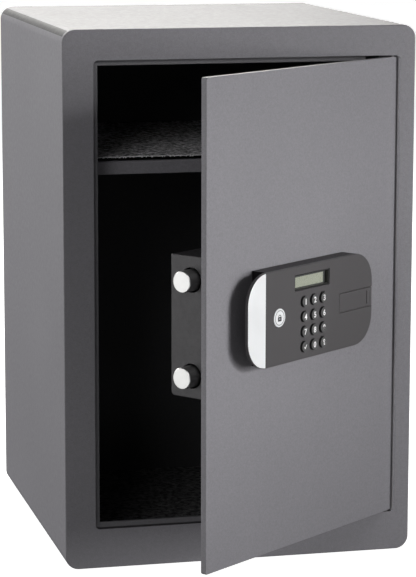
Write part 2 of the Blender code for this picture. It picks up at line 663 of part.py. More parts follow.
# ---------------------------------------------------------------- lock case and bolt work
def case_outline(inset=0.0, front=DOOR_BACK + GAP):
    """The lock case seen along the door: round at its two deep corners."""
    return rounded(front, CASE_BOTTOM + inset, CASE_DEEP - inset, CASE_TOP - inset,
                   (0, CASE_RADIUS - inset, CASE_RADIUS - inset, 0), 5)


def make_lock_case():
    """A folded sheet case, open to the door, with holes for the bolts, batteries and reset button."""
    case = prism("lock_case", [case_outline()], CASE_FREE, CASE_HINGE, DARK_PAINT, ALONG_X, hinge)
    hollow = prism("case_cutter", [case_outline(CASE_WALL, DOOR_FRONT)], CASE_FREE + CASE_WALL,
                   CASE_HINGE - CASE_WALL, None, ALONG_X, hinge)
    cut(case, hollow)
    for end, height in BOLT_ROWS.items():
        cut(case, bore("case_bolt_cutter_" + end, (CASE_FREE, BOLT_Y, height), BOLT_HOLE_RADIUS,
                       4 * CASE_WALL, TO_PLUS_X, hinge))
    inset = 2 * HOLDER_WALL
    near = (HOLDER_LOW[0] + inset, CASE_DEEP - 2 * CASE_WALL, HOLDER_LOW[2] + inset)
    far = (HOLDER_HIGH[0] - inset, CASE_DEEP + CASE_WALL, HOLDER_HIGH[2] - inset)
    cut(case, box("battery_cutter", near, far, None, hinge))
    cut(case, bore("reset_cutter", (RESET_CENTRE[0], CASE_DEEP, RESET_CENTRE[1]), RESET_RADIUS + GAP,
                   4 * CASE_WALL, TO_PLUS_Y, hinge, 16))


def make_bolts():
    """Two bolts on a bar, the rack that moves them and the plate that guides them."""
    length = BOLT_ROOT - BOLT_END
    profile = rod_profile(BOLT_RADIUS, 0, length, BOLT_CHAMFER)
    for end, height in BOLT_ROWS.items():
        turned("bolt_" + end, profile, CHROME, hinge, (BOLT_ROOT, BOLT_Y, height), TO_MINUS_X, 32)
    back = BOLT_ROOT + GAP
    box("bolt_bar", (back, BOLT_Y - BAR_HALF_WIDTH, BOLT_ROWS["lower"] - BAR_OVERHANG),
        (back + BAR_THICKNESS, BOLT_Y + BAR_HALF_WIDTH, BOLT_ROWS["upper"] + BAR_OVERHANG), STEEL, hinge)
    prism("drive_rack", [rack_outline()], *RACK_Y, STEEL, parent=hinge)
    margin = CASE_WALL + 2 * GAP
    outline = rounded(DOOR_BACK + 3 * GAP, CASE_BOTTOM + margin, CASE_DEEP - margin, CASE_TOP - margin,
                      (0, CASE_RADIUS, CASE_RADIUS, 0), 3)
    holes = [circle((BOLT_Y, height), BOLT_RADIUS + 2 * GAP, 32) for height in BOLT_ROWS.values()]
    prism("bolt_guide", [outline, *holes], GUIDE_X - GUIDE_THICKNESS / 2, GUIDE_X + GUIDE_THICKNESS / 2,
          STEEL, ALONG_X, hinge)


def make_drive():
    """The pinion on its shaft, the gearbox, the motor and the plate that carries the shafts' far ends."""
    axis = (PINION_X, DRIVE_Z)
    gear = gear_outline(PINION_TEETH, axis, -math.pi / 2)
    prism("drive_pinion", [gear, circle(axis, PINION_SHAFT_RADIUS + GAP, 16)], *PINION_Y, BRASS,
          parent=hinge, origin=axis)
    start, end = PINION_SHAFT_Y
    turned("pinion_shaft", rod_profile(PINION_SHAFT_RADIUS, 0, end - start), STEEL, hinge,
           (PINION_X, start, DRIVE_Z), TO_PLUS_Y, 16)
    half = Vector(GEARBOX_SIZE) / 2
    centre = Vector((PINION_X, GEARBOX_Y, DRIVE_Z))
    gearbox = box("gearbox_housing", centre - half, centre + half, BLACK, hinge)
    cut(gearbox, bore("gearbox_cutter", (PINION_X, GEARBOX_Y + half.y, DRIVE_Z), PINION_SHAFT_RADIUS + GAP,
                      2 * (GEARBOX_Y + half.y - start + GAP), TO_PLUS_Y, hinge, 16))
    base = DRIVE_Z + half.z + GAP
    turned("motor_can", rod_profile(MOTOR_RADIUS, 0, MOTOR_LENGTH, BOLT_CHAMFER), STEEL, hinge,
           (PINION_X, MOTOR_Y, base))
    low, high = BEARING_PLATE_LOW, BEARING_PLATE_HIGH
    outline = rounded(*low, *high, BEARING_PLATE_RADIUS, 2)
    holes = [circle(axis, PINION_SHAFT_RADIUS + GAP, 16),
             circle((KEY_PLUG_X, DRIVE_Z), PLUG_SHAFT_RADIUS + GAP, 16)]
    prism("bearing_plate", [outline, *holes], *BEARING_PLATE_Y, STEEL, parent=hinge)
    box("lock_board", LOCK_BOARD_LOW, LOCK_BOARD_HIGH, BOARD, hinge)
    tall, thick = RESET_LENGTH, RESET_FLANGE_THICKNESS
    profile = [(0, tall), (RESET_RADIUS, tall), (RESET_RADIUS, thick), (RESET_FLANGE, thick),
               (RESET_FLANGE, 0), (0, 0)]
    place = (RESET_CENTRE[0], RESET_BASE_Y, RESET_CENTRE[1])
    turned("reset_button", profile, RED, hinge, place, TO_PLUS_Y, 16)


def make_batteries():
    """The holder, four cells and the sliding door over them."""
    holder = box("battery_holder", HOLDER_LOW, HOLDER_HIGH, BLACK, hinge)
    wall = Vector((HOLDER_WALL,) * 3)
    mouth = Vector(HOLDER_HIGH) - wall
    mouth.y = HOLDER_HIGH[1] + HOLDER_WALL
    cut(holder, box("holder_cutter", Vector(HOLDER_LOW) + wall, mouth, None, hinge))
    half = CELL_LENGTH / 2
    nib = CELL_RADIUS / 3
    profile = [(0, half + CELL_NIB), (nib, half + CELL_NIB), (nib, half), (CELL_RADIUS, half),
               (CELL_RADIUS, -half), (0, -half)]
    for number, (deep, height) in enumerate(CELL_CENTRES, 1):
        facing = TO_PLUS_X if number % 2 else TO_MINUS_X
        turned("battery_%d" % number, profile, CELL, hinge, (CELL_X, deep, height), facing, 16)
    box("battery_door", BATTERY_DOOR_LOW, BATTERY_DOOR_HIGH, DARK_PAINT, hinge)


def make_harness():
    """The lead from the keypad's board to the motor, through the door."""
    stops = [(-0.185, -0.0095, 0.250), (-0.185, 0.002, 0.250), (-0.184, 0.010, 0.252),
             (-0.176, 0.0145, 0.262), (-0.163, 0.0155, 0.277), (-0.150, 0.0152, 0.289),
             (-0.1425, 0.015, 0.2935), (-0.1356, 0.015, 0.2950)]
    curve = bpy.data.curves.new("wire_harness", "CURVE")
    curve.dimensions = "3D"
    curve.bevel_depth = LEAD_RADIUS
    curve.bevel_resolution = 2
    curve.use_fill_caps = True
    spline = curve.splines.new("POLY")
    spline.points.add(len(stops) - 1)
    for point, stop in zip(spline.points, stops):
        point.co = (*stop, 1)
    lead = bpy.data.objects.new("wire_harness", curve)
    lead.parent = hinge
    curve.materials.append(BLACK)
    parts.objects.link(lead)


make_shell()
make_door_stop()
make_hinge()
make_strike()
make_interior()
make_door()
make_housing()
make_face_trim()
make_keys()
make_electronics()
make_override()
make_lock_case()
make_bolts()
make_drive()
make_batteries()
make_harness()
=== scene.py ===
"""Looks of the in-room safe: bevelled sheet steel, the keypad, the bolt work and the carpet."""
import json
import math
import random

import bmesh
import bpy
from mathutils import Matrix, Vector, noise

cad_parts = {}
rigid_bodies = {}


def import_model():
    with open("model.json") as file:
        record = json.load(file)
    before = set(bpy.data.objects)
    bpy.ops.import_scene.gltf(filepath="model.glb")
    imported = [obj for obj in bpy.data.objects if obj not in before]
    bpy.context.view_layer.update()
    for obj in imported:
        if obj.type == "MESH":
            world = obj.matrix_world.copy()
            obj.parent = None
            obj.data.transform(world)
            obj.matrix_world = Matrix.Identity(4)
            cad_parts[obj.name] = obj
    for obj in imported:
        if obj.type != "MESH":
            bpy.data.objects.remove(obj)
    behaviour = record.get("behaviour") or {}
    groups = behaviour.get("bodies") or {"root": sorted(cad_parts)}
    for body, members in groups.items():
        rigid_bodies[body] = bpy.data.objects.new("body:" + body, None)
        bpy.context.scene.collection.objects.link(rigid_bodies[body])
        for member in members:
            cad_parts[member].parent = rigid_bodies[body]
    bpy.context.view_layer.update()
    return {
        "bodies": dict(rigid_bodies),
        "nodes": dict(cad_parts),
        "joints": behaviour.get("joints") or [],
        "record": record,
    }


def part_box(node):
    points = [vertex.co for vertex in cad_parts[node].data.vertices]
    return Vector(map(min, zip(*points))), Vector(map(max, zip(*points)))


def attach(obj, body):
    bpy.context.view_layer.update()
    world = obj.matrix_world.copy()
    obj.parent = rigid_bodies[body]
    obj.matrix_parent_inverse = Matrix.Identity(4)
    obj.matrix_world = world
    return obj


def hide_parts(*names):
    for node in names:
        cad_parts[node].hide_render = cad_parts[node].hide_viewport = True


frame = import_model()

MM = 0.001
NODES = frame["nodes"]

# ---- the frame's places
HINGE = next(joint for joint in frame["joints"] if joint["name"] == "door_hinge")
OPEN_ANGLE = -math.radians(HINGE["range_deg"][0])
AXIS = Vector((HINGE["pos_m"][0], HINGE["pos_m"][1], 0))
DOOR = Matrix.Translation(AXIS) @ Matrix.Rotation(OPEN_ANGLE, 4, "Z")
CABINET = Matrix.Identity(4)


def local_box(node):
    """Lowest and highest corner of a door node in the door's own closed frame."""
    back = DOOR.inverted()
    points = [back @ vertex.co for vertex in NODES[node].data.vertices]
    return (Vector(min(p[i] for p in points) for i in range(3)),
            Vector(max(p[i] for p in points) for i in range(3)))


def link(thing):
    bpy.context.scene.collection.objects.link(thing)
    return thing


# ---- camera
CAMERA_PLACE = (-0.5963, -2.4885, 0.6848)
CAMERA_SIDEWAYS, CAMERA_DOWN, CAMERA_ROLL = -13.727, 9.891, 0.105       # degrees
FOCAL_LENGTH, SENSOR_WIDTH = 156.87, 36.0                               # mm


def make_camera():
    """A long lens at the photograph's angle; the long side of the picture is upright."""
    lens = bpy.data.cameras.new("camera")
    lens.lens = FOCAL_LENGTH
    lens.sensor_width = SENSOR_WIDTH
    lens.clip_end = 60.0
    camera = link(bpy.data.objects.new("camera", lens))
    turn = Matrix.Rotation(math.radians(CAMERA_SIDEWAYS), 4, "Z")
    turn = turn @ Matrix.Rotation(math.radians(90 - CAMERA_DOWN), 4, "X")
    turn = turn @ Matrix.Rotation(math.radians(CAMERA_ROLL), 4, "Z")
    camera.matrix_world = Matrix.Translation(CAMERA_PLACE) @ turn
    bpy.context.scene.camera = camera


# ---- materials
class Look:
    """A Principled material whose node tree is built a step at a time."""

    def __init__(self, name, colour, roughness, metallic=0.0):
        self.material = bpy.data.materials.new(name)
        self.material.use_nodes = True
        tree = self.material.node_tree
        self.new, self.join = tree.nodes.new, tree.links.new
        self.shader = tree.nodes["Principled BSDF"]
        self.colour = (*colour, 1.0)
        self.set("Base Color", self.colour)
        self.set("Roughness", roughness)
        self.set("Metallic", metallic)
        self.where = self.new("ShaderNodeTexCoord").outputs["Object"]
        self.height = None

    def set(self, socket, value):
        self.shader.inputs[socket].default_value = value

    def noise(self, scale, detail=2.0, roughness=0.5, stretch=None):
        """A noise texture on the object's own coordinates, stretched if asked."""
        where = self.where
        if stretch:
            mapping = self.new("ShaderNodeMapping")
            mapping.inputs["Scale"].default_value = stretch
            self.join(where, mapping.inputs["Vector"])
            where = mapping.outputs["Vector"]
        texture = self.new("ShaderNodeTexNoise")
        for name, value in (("Scale", scale), ("Detail", detail), ("Roughness", roughness)):
            texture.inputs[name].default_value = value
        self.join(where, texture.inputs["Vector"])
        return texture.outputs["Fac"]

    def spread(self, source, low, high, start=0.3, end=0.7):
        """Maps a noise's middle range to low..high."""
        step = self.new("ShaderNodeMapRange")
        for name, value in (("From Min", start), ("From Max", end), ("To Min", low), ("To Max", high)):
            step.inputs[name].default_value = value
        self.join(source, step.inputs["Value"])
        return step.outputs["Result"]

    def shade(self, source, low, high, start=0.3, end=0.7):
        """Multiplies the base colour by a factor that follows a noise."""
        factor = self.spread(source, low, high, start, end)
        scale = self.new("ShaderNodeVectorMath")
        scale.operation = "SCALE"
        current = self.shader.inputs["Base Color"]
        if current.is_linked:
            self.join(current.links[0].from_socket, scale.inputs[0])
        else:
            scale.inputs[0].default_value = self.colour[:3]
        self.join(factor, scale.inputs["Scale"])
        self.join(scale.outputs[0], current)

    def rough(self, source, low, high, start=0.3, end=0.7):
        self.join(self.spread(source, low, high, start, end), self.shader.inputs["Roughness"])

    def bump(self, source, distance, strength=1.0):
        """Adds a bump; a second one sits on the first."""
        step = self.new("ShaderNodeBump")
        step.inputs["Strength"].default_value = strength
        step.inputs["Distance"].default_value = distance
        self.join(source, step.inputs["Height"])
        if self.height:
            self.join(self.height, step.inputs["Normal"])
        self.height = step.outputs["Normal"]
        self.join(self.height, self.shader.inputs["Normal"])


def powder_coat(name, colour, roughness=0.5):
    """Fine orange-peel powder coat with a faint mottle."""
    look = Look(name, colour, roughness)
    look.shade(look.noise(6.0, 3.0), 0.965, 1.035)
    look.shade(look.noise(900.0, 2.0), 0.91, 1.09)
    look.shade(look.noise(380.0, 2.0), 0.95, 1.05)
    look.rough(look.noise(220.0), roughness - 0.06, roughness + 0.06)
    look.bump(look.noise(650.0, 3.0, 0.6), 0.08 * MM, 0.55)
    look.bump(look.noise(140.0), 0.10 * MM, 0.25)
    return look.material


def moulded(name, colour, roughness, grain=0.03, coat=0.0, gloss=0.5):
    """Moulded plastic or rubber with a fine grain."""
    look = Look(name, colour, roughness)
    look.set("Specular IOR Level", gloss)
    look.shade(look.noise(11.0), 0.97, 1.03)
    look.rough(look.noise(400.0), roughness - 0.04, roughness + 0.04)
    look.bump(look.noise(1800.0, 2.0), grain * MM, 0.5)
    look.set("Coat Weight", coat)
    return look.material


def metal(name, colour, roughness, stretch=(1, 1, 1), wear=0.03, metallic=1.0):
    """Bare, plated or painted metal with fine scratches along one direction."""
    look = Look(name, colour, roughness, metallic)
    look.shade(look.noise(30.0, 3.0), 0.96, 1.03)
    look.rough(look.noise(260.0, 3.0, 0.6, stretch), roughness - wear, roughness + wear)
    look.bump(look.noise(900.0, 2.0, 0.5, stretch), 0.01 * MM, 0.3)
    return look.material


def carpet(name, colour, sheen):
    """Needled carpet: matted fibres, clumps and a little sheen."""
    look = Look(name, colour, 0.95)
    look.shade(look.noise(1100.0, 3.0, 0.7), 0.4, 1.9)
    look.shade(look.noise(200.0, 2.0, 0.6), 0.05, 2.5, 0.38, 0.62)
    look.shade(look.noise(120.0, 4.0, 0.7), 0.6, 1.5)
    look.bump(look.noise(900.0, 4.0, 0.8), 1.2 * MM, 1.0)
    look.set("Sheen Weight", sheen)
    look.set("Sheen Roughness", 0.5)
    look.set("Specular IOR Level", 0.3)
    return look.material


def display_glass(name):
    """The clear pane of the display: mostly see-through, with a gloss."""
    look = Look(name, (0.5, 0.52, 0.5), 0.06)
    look.set("Alpha", 0.10)
    look.rough(look.noise(60.0), 0.04, 0.08)
    return look.material


PAINT = powder_coat("grey_powder_coat_look", (0.207, 0.201, 0.218))
# A near-black copy of the grey paint for the cabinet's inside: painted shade for the unlit interior.
INSIDE_PAINTED_SHADE = powder_coat("inner_powder_coat_look", (0.05, 0.05, 0.052), 0.6)
# Near-black for the doorway's inner edges: painted shade along the opening.
DOORWAY_PAINTED_SHADE = powder_coat("doorway_edge_look", (0.05, 0.049, 0.052), 0.6)
# Near-white for the doorway's inner edge on the hinge side: painted light, so the gap there reads less
# dark.
HINGE_EDGE_PAINTED_LIGHT = powder_coat("hinge_side_edge_look", (0.80, 0.79, 0.81), 0.6)
# A darker copy of the grey paint for the door stop: painted shade behind the frame.
STOP_PAINTED_SHADE = powder_coat("door_stop_look", (0.13, 0.127, 0.136), 0.55)
DARK_PAINT = powder_coat("dark_powder_coat_look", (0.020, 0.019, 0.021), 0.48)
END_PAINT = powder_coat("end_plate_look", (0.041, 0.039, 0.042), 0.45)
FACE_PLASTIC = moulded("face_plastic_look", (0.077, 0.073, 0.076), 0.34)
SIDE_PLASTIC = moulded("side_plastic_look", (0.008, 0.007, 0.008), 0.4, gloss=0.2)
BLACK_PLASTIC = moulded("black_plastic_look", (0.012, 0.012, 0.012), 0.45)
KEY_RUBBER = moulded("key_rubber_look", (0.070, 0.069, 0.070), 0.42)
KEY_SIDE = moulded("key_side_look", (0.008, 0.008, 0.008), 0.5)
LEGEND = moulded("legend_look", (0.86, 0.86, 0.86), 0.5, 0.01)
BADGE_WHITE = moulded("badge_white_look", (0.80, 0.81, 0.82), 0.3, 0.01, 0.3)
BADGE_MARK = moulded("badge_mark_look", (0.035, 0.035, 0.04), 0.4, 0.01)
RED = moulded("red_plastic_look", (0.45, 0.03, 0.025), 0.4)
SILVER = metal("silver_trim_look", (0.86, 0.87, 0.88), 0.34, (1, 1, 20), 0.03, 0.15)
CHROME = metal("bolt_chrome_look", (0.60, 0.60, 0.59), 0.34)
ZINC = metal("zinc_steel_look", (0.62, 0.62, 0.60), 0.34, (1, 1, 14))
PIN_STEEL = metal("pin_steel_look", (0.16, 0.16, 0.16), 0.5)
BRASS = metal("brass_look", (0.66, 0.50, 0.22), 0.30)
LCD = moulded("display_green_look", (0.36, 0.38, 0.29), 0.30, 0.01)
GLASS = display_glass("clear_window_look")
BOARD = moulded("board_green_look", (0.02, 0.13, 0.05), 0.4, 0.02, 0.3)
CELL = moulded("battery_wrap_look", (0.16, 0.17, 0.20), 0.3, 0.01, 0.4)
# The shelf's carpet is a copy of the black floor carpet made about six times lighter: painted light for
# the better-lit shelf.
SHELF_CARPET_PAINTED_LIGHT = carpet("shelf_carpet_look", (0.33, 0.318, 0.33), 0.25)
FLOOR_CARPET = carpet("floor_carpet_look", (0.05, 0.049, 0.05), 0.06)
# Near-black for the carpets' sides and cut edges: painted shade.
CARPET_SIDE_PAINTED_SHADE = moulded("carpet_cut_look", (0.003, 0.003, 0.003), 0.95, gloss=0.1)
# Near-white fibres along the carpets' front edges: a painted highlight where the edge catches light.
FRAY_PAINTED_HIGHLIGHT = moulded("carpet_fray_look", (0.85, 0.85, 0.85), 0.9)

SLOT_LOOKS = {
    "grey_powder_coat": PAINT, "dark_powder_coat": DARK_PAINT, "charcoal_plastic": FACE_PLASTIC,
    "black_plastic": BLACK_PLASTIC, "silver_trim": SILVER, "white_plastic": BADGE_WHITE,
    "display_green": LCD, "clear_window": GLASS, "key_rubber": KEY_RUBBER, "board_green": BOARD,
    "zinc_steel": ZINC, "bolt_chrome": CHROME, "brass": BRASS, "black_carpet": FLOOR_CARPET,
    "battery_wrap": CELL, "red_plastic": RED}


def dress_cad():
    """Every CAD node that stays in view gets its slot's procedural material."""
    for entry in frame["record"]["subparts"]:
        mesh = NODES[entry["node"]].data
        mesh.materials.clear()
        mesh.materials.append(SLOT_LOOKS[entry["material_slot"]])
        mesh.shade_smooth()
        mesh.set_sharp_from_angle(angle=math.radians(35))


# ---- mesh helpers
ALONG = {"x": lambda u, v, h: (h, u, v), "y": lambda u, v, h: (u, h, v), "z": lambda u, v, h: (u, v, h)}


def rounded(left, bottom, right, top, radii=0.0, steps=10):
    """A function of an inset that gives a rounded rectangle; radii go round from the lower left."""
    if not isinstance(radii, tuple):
        radii = (radii,) * 4

    def outline(inset=0.0):
        corners = ((left, bottom, 1, 1), (right, bottom, -1, 1),
                   (right, top, -1, -1), (left, top, 1, -1))
        points = []
        for quarter, ((x, y, across, up), radius) in enumerate(zip(corners, radii)):
            size = max(radius - inset, 0.0)
            centre = (x + across * (inset + size), y + up * (inset + size))
            for i in range(steps + 1 if radius else 1):
                angle = math.pi + math.pi / 2 * (quarter + i / steps)
                points.append((centre[0] + size * math.cos(angle), centre[1] + size * math.sin(angle)))
        return points
    return outline


def spanning(low, high, grow=0.0, radii=0.0, steps=10):
    """The rounded outline of a box seen along Y, grown by a margin."""
    return rounded(low.x - grow, low.z - grow, high.x + grow, high.z + grow, radii, steps)


def circle(centre, radius, steps=40):
    """A function of an inset that gives a circle."""
    def outline(inset=0.0):
        size = radius - inset
        return [(centre[0] + size * math.cos(math.tau * i / steps),
                 centre[1] + size * math.sin(math.tau * i / steps)) for i in range(steps)]
    return outline


def fixed(points):
    """An outline that its edge rounding doesn't draw in."""
    return lambda inset=0.0: points


def add(name, mesh, look, body="cabinet", place=None, sharp=40, weighted=True):
    """Link a mesh as a piece that rides on a body; pieces on the door are made in its closed frame."""
    mesh.name = name
    thing = link(bpy.data.objects.new(name, mesh))
    if not mesh.materials:
        mesh.materials.append(look)
    if place is None:
        place = CABINET if body == "cabinet" else DOOR
    thing.matrix_world = place
    mesh.shade_smooth()
    mesh.set_sharp_from_angle(angle=math.radians(sharp))
    if weighted:
        even = thing.modifiers.new("even shading", "WEIGHTED_NORMAL")
        even.keep_sharp = True
    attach(thing, body)
    return thing


def to_mesh(shape):
    mesh = bpy.data.meshes.new("piece")
    bmesh.ops.recalc_face_normals(shape, faces=shape.faces)
    shape.to_mesh(mesh)
    shape.free()
    return mesh


def eased(edge, steps):
    """How deep and how far inwards each ring of a rounded edge lies."""
    turns = [math.pi / 2 * i / steps for i in range(steps + 1)] if edge else [math.pi / 2]
    return [(edge * (1 - math.cos(turn)), edge * (1 - math.sin(turn))) for turn in turns]


def plate_into(shape, rim, holes, start, end, along="y", edge_start=0.0, edge_end=0.0, steps=3):
    """Adds a flat outline with holes to a bmesh, thickened, with its edges rounded."""
    levels = [(start + deep, inset) for deep, inset in eased(edge_start, steps)]
    levels += [(end - deep, inset) for deep, inset in reversed(eased(edge_end, steps))]
    ends = ([], [])
    for sign, loop in [(1, rim)] + [(-1, hole) for hole in holes]:
        rings = [[shape.verts.new(ALONG[along](u, v, height)) for u, v in loop(sign * inset)]
                 for height, inset in levels]
        count = len(rings[0])
        for low, high in zip(rings, rings[1:]):
            for i in range(count):
                shape.faces.new((low[i], low[i - 1], high[i - 1], high[i]))
        for edges, ring in zip(ends, (rings[0], rings[-1])):
            edges += [shape.edges.get((ring[i], ring[i - 1])) for i in range(count)]
    for edges in ends:
        bmesh.ops.triangle_fill(shape, use_beauty=True, edges=edges)


def lathe_into(shape, profile, steps=40, place=None):
    """Adds a solid turned about Z from a (radius, height) profile that starts and ends on the axis."""
    rings = []
    for radius, height in profile:
        if radius < 1e-7:
            rings.append([shape.verts.new((0, 0, height))])
        else:
            rings.append([shape.verts.new((radius * math.cos(math.tau * i / steps),
                                           radius * math.sin(math.tau * i / steps), height))
                          for i in range(steps)])
    for low, high in zip(rings, rings[1:]):
        for i in range(steps):
            a, b = low[i % len(low)], low[(i + 1) % len(low)]
            c, d = high[(i + 1) % len(high)], high[i % len(high)]
            corners = [a] + ([b] if b != a else []) + [c] + ([d] if d != c else [])
            shape.faces.new(corners)
    if place:
        bmesh.ops.transform(shape, matrix=place, verts=[v for ring in rings for v in ring])


def slab_into(shape, low, high, edge=0.0, steps=2):
    """Adds a box between two corners with its edges rounded."""
    low, high = Vector(low), Vector(high)
    size = high - low
    matrix = Matrix.Translation((low + high) / 2) @ Matrix.Diagonal((*size, 1.0))
    made = bmesh.ops.create_cube(shape, size=1.0, matrix=matrix)
    if edge:
        edges = list({e for v in made["verts"] for e in v.link_edges})
        bmesh.ops.bevel(shape, geom=edges, offset=edge, segments=steps, affect="EDGES", profile=0.5)


def alone(build_into):
    """The form of an _into function that gives a mesh of its own."""
    def build(*args, **kwargs):
        shape = bmesh.new()
        build_into(shape, *args, **kwargs)
        return to_mesh(shape)
    return build


plate, lathe, slab = alone(plate_into), alone(lathe_into), alone(slab_into)


def chamfered(radius, length, chamfer):
    """The profile of a rod with chamfered ends, without its last point on the axis."""
    return [(0, 0), (radius - chamfer, 0), (radius, chamfer), (radius, length - chamfer),
            (radius - chamfer, length)]


def drill(radius, start, end, steps, place=None):
    """A round cutter along Z, or along its place's Z."""
    return lathe([(0, start), (radius, start), (radius, end), (0, end)], steps, place)


def frozen(thing):
    """The mesh of an object with its modifiers applied, which then goes."""
    view = bpy.context.evaluated_depsgraph_get()
    mesh = bpy.data.meshes.new_from_object(thing.evaluated_get(view))
    bpy.data.objects.remove(thing)
    return mesh


def carve(mesh, cutters):
    """Takes closed cutter meshes away from a mesh and returns the result."""
    target = link(bpy.data.objects.new("carved", mesh))
    tools = []
    for cutter in cutters:
        tool = link(bpy.data.objects.new("tool", cutter))
        tools.append(tool)
        step = target.modifiers.new("cut", "BOOLEAN")
        step.operation = "DIFFERENCE"
        step.object = tool
    result = frozen(target)
    for tool in tools:
        bpy.data.objects.remove(tool)
    return result


# Places a solid turned about Z so that its +Z runs along a door direction
FACE_OUT = Matrix.Rotation(math.pi / 2, 4, "X")       # +Z to -Y, out of the door's front
FACE_IN = Matrix.Rotation(-math.pi / 2, 4, "X")       # +Z to +Y, into the cabinet
FREE_WAYS = Matrix.Rotation(-math.pi / 2, 4, "Y")     # +Z to -X, to the door's free edge


def at(x, y, z, turn=None):
    matrix = Matrix.Translation((x, y, z))
    return matrix @ turn if turn else matrix


# ---- sizes that no box gives
GAP = 0.3 * MM
SHEET = 3 * MM
BODY_RADIUS = 13 * MM
CABINET_EDGE = 1.3 * MM          # the rounding of the cabinet's front and rear edges
DOORWAY = (-143 * MM, 38.8 * MM, 157 * MM, 490.5 * MM)
DOORWAY_RADIUS = 4 * MM
ANCHOR_RADIUS = 6 * MM
ANCHOR_PLACES = {"rear": [(-90 * MM, 300 * MM), (90 * MM, 300 * MM)],
                 "base": [(-90 * MM, 60 * MM), (90 * MM, 60 * MM)]}
DOOR_RADIUS = 2 * MM
PIN_BORE = 2.2 * MM
PIN_REACH = 8.3 * MM
CABLE_HOLE = (-185 * MM, 250 * MM)
CABLE_HOLE_RADIUS = 7 * MM
HOUSING_RADIUS = 28 * MM
HOUSING_WALL = 2.2 * MM
FACE_WALL = 3 * MM
GRIP_END = -225 * MM             # left of this the keypad's face stands free of the door
STRIP_DEPTH = 1.1 * MM
BADGE_DEPTH = 1.2 * MM
STRIP_EDGE = 0.5 * MM            # what stays of the face round the strip
COVER_THICKNESS = 1.8 * MM
COVER_RECESS = 2.2 * MM
RIDGE_X = -67.2 * MM             # where the thumb ridge stands on the cover
KEY_RADIUS = 5.15 * MM
KEY_HOLE_RADIUS = 5.45 * MM
KEY_FLANGE = (6 * MM, 1 * MM)    # its radius and its thickness
CASE_WALL = 1.5 * MM
CASE_RADIUS = 4 * MM
END_PLATE = 1.8 * MM
BOLT_HOLE_RADIUS = 11.5 * MM
FIBRE = 0.14 * MM
SHELF_SHEET = 1.5 * MM


def middle_of(node):
    """The middle of a door node in the door's frame."""
    low, high = local_box(node)
    return (low + high) / 2


def softer(loop, share):
    """A loop whose edge rounding reaches only a share as far inwards."""
    return lambda inset=0.0: loop(inset * share)


def folded(points, thickness, radius, steps=4):
    """The outline of a bent sheet: its middle line with round bends, thickened to both sides."""
    line = [Vector(points[0])]
    for before, corner, after in zip(points, points[1:], points[2:]):
        before, corner, after = Vector(before), Vector(corner), Vector(after)
        way_in, way_out = (corner - before).normalized(), (after - corner).normalized()
        turn = way_in.angle_signed(way_out)
        reach = radius * math.tan(abs(turn) / 2)
        side = Vector((-way_in.y, way_in.x)) * (-1 if turn > 0 else 1)
        centre = corner - way_in * reach + side * radius
        for i in range(steps + 1):
            spoke = -side * radius
            spoke.rotate(Matrix.Rotation(-turn * i / steps, 2))
            line.append(centre + spoke)
    line.append(Vector(points[-1]))
    left, right = [], []
    for i, point in enumerate(line):
        ahead = line[min(i + 1, len(line) - 1)] - line[max(i - 1, 0)]
        across = Vector((-ahead.y, ahead.x)).normalized() * thickness / 2
        left.append(tuple(point + across))
        right.append(tuple(point - across))
    return fixed(left + right[::-1])


def stroke(points, width):
    """The outline of a line drawn with a pen of that width, with mitred corners."""
    left, right = [], []
    for i, point in enumerate(points):
        here = Vector(point)
        ways = []
        if i:
            ways.append((here - Vector(points[i - 1])).normalized())
        if i < len(points) - 1:
            ways.append((Vector(points[i + 1]) - here).normalized())
        mean = sum(ways, Vector((0, 0))).normalized()
        across = Vector((-mean.y, mean.x)) * width / 2 / mean.dot(ways[0])
        left.append(tuple(here + across))
        right.append(tuple(here - across))
    return left + right[::-1]


def moved(points, x, z):
    return fixed([(u + x, v + z) for u, v in points])


def arc(centre, radius, start, end, steps=16):
    return [(centre[0] + radius * math.cos(start + (end - start) * i / steps),
             centre[1] + radius * math.sin(start + (end - start) * i / steps)) for i in range(steps + 1)]


def paint(mesh, looks, choose):
    """Gives each face the look whose number choose(face) says."""
    for look in looks:
        mesh.materials.append(look)
    for face in mesh.polygons:
        face.material_index = choose(face)
    return mesh


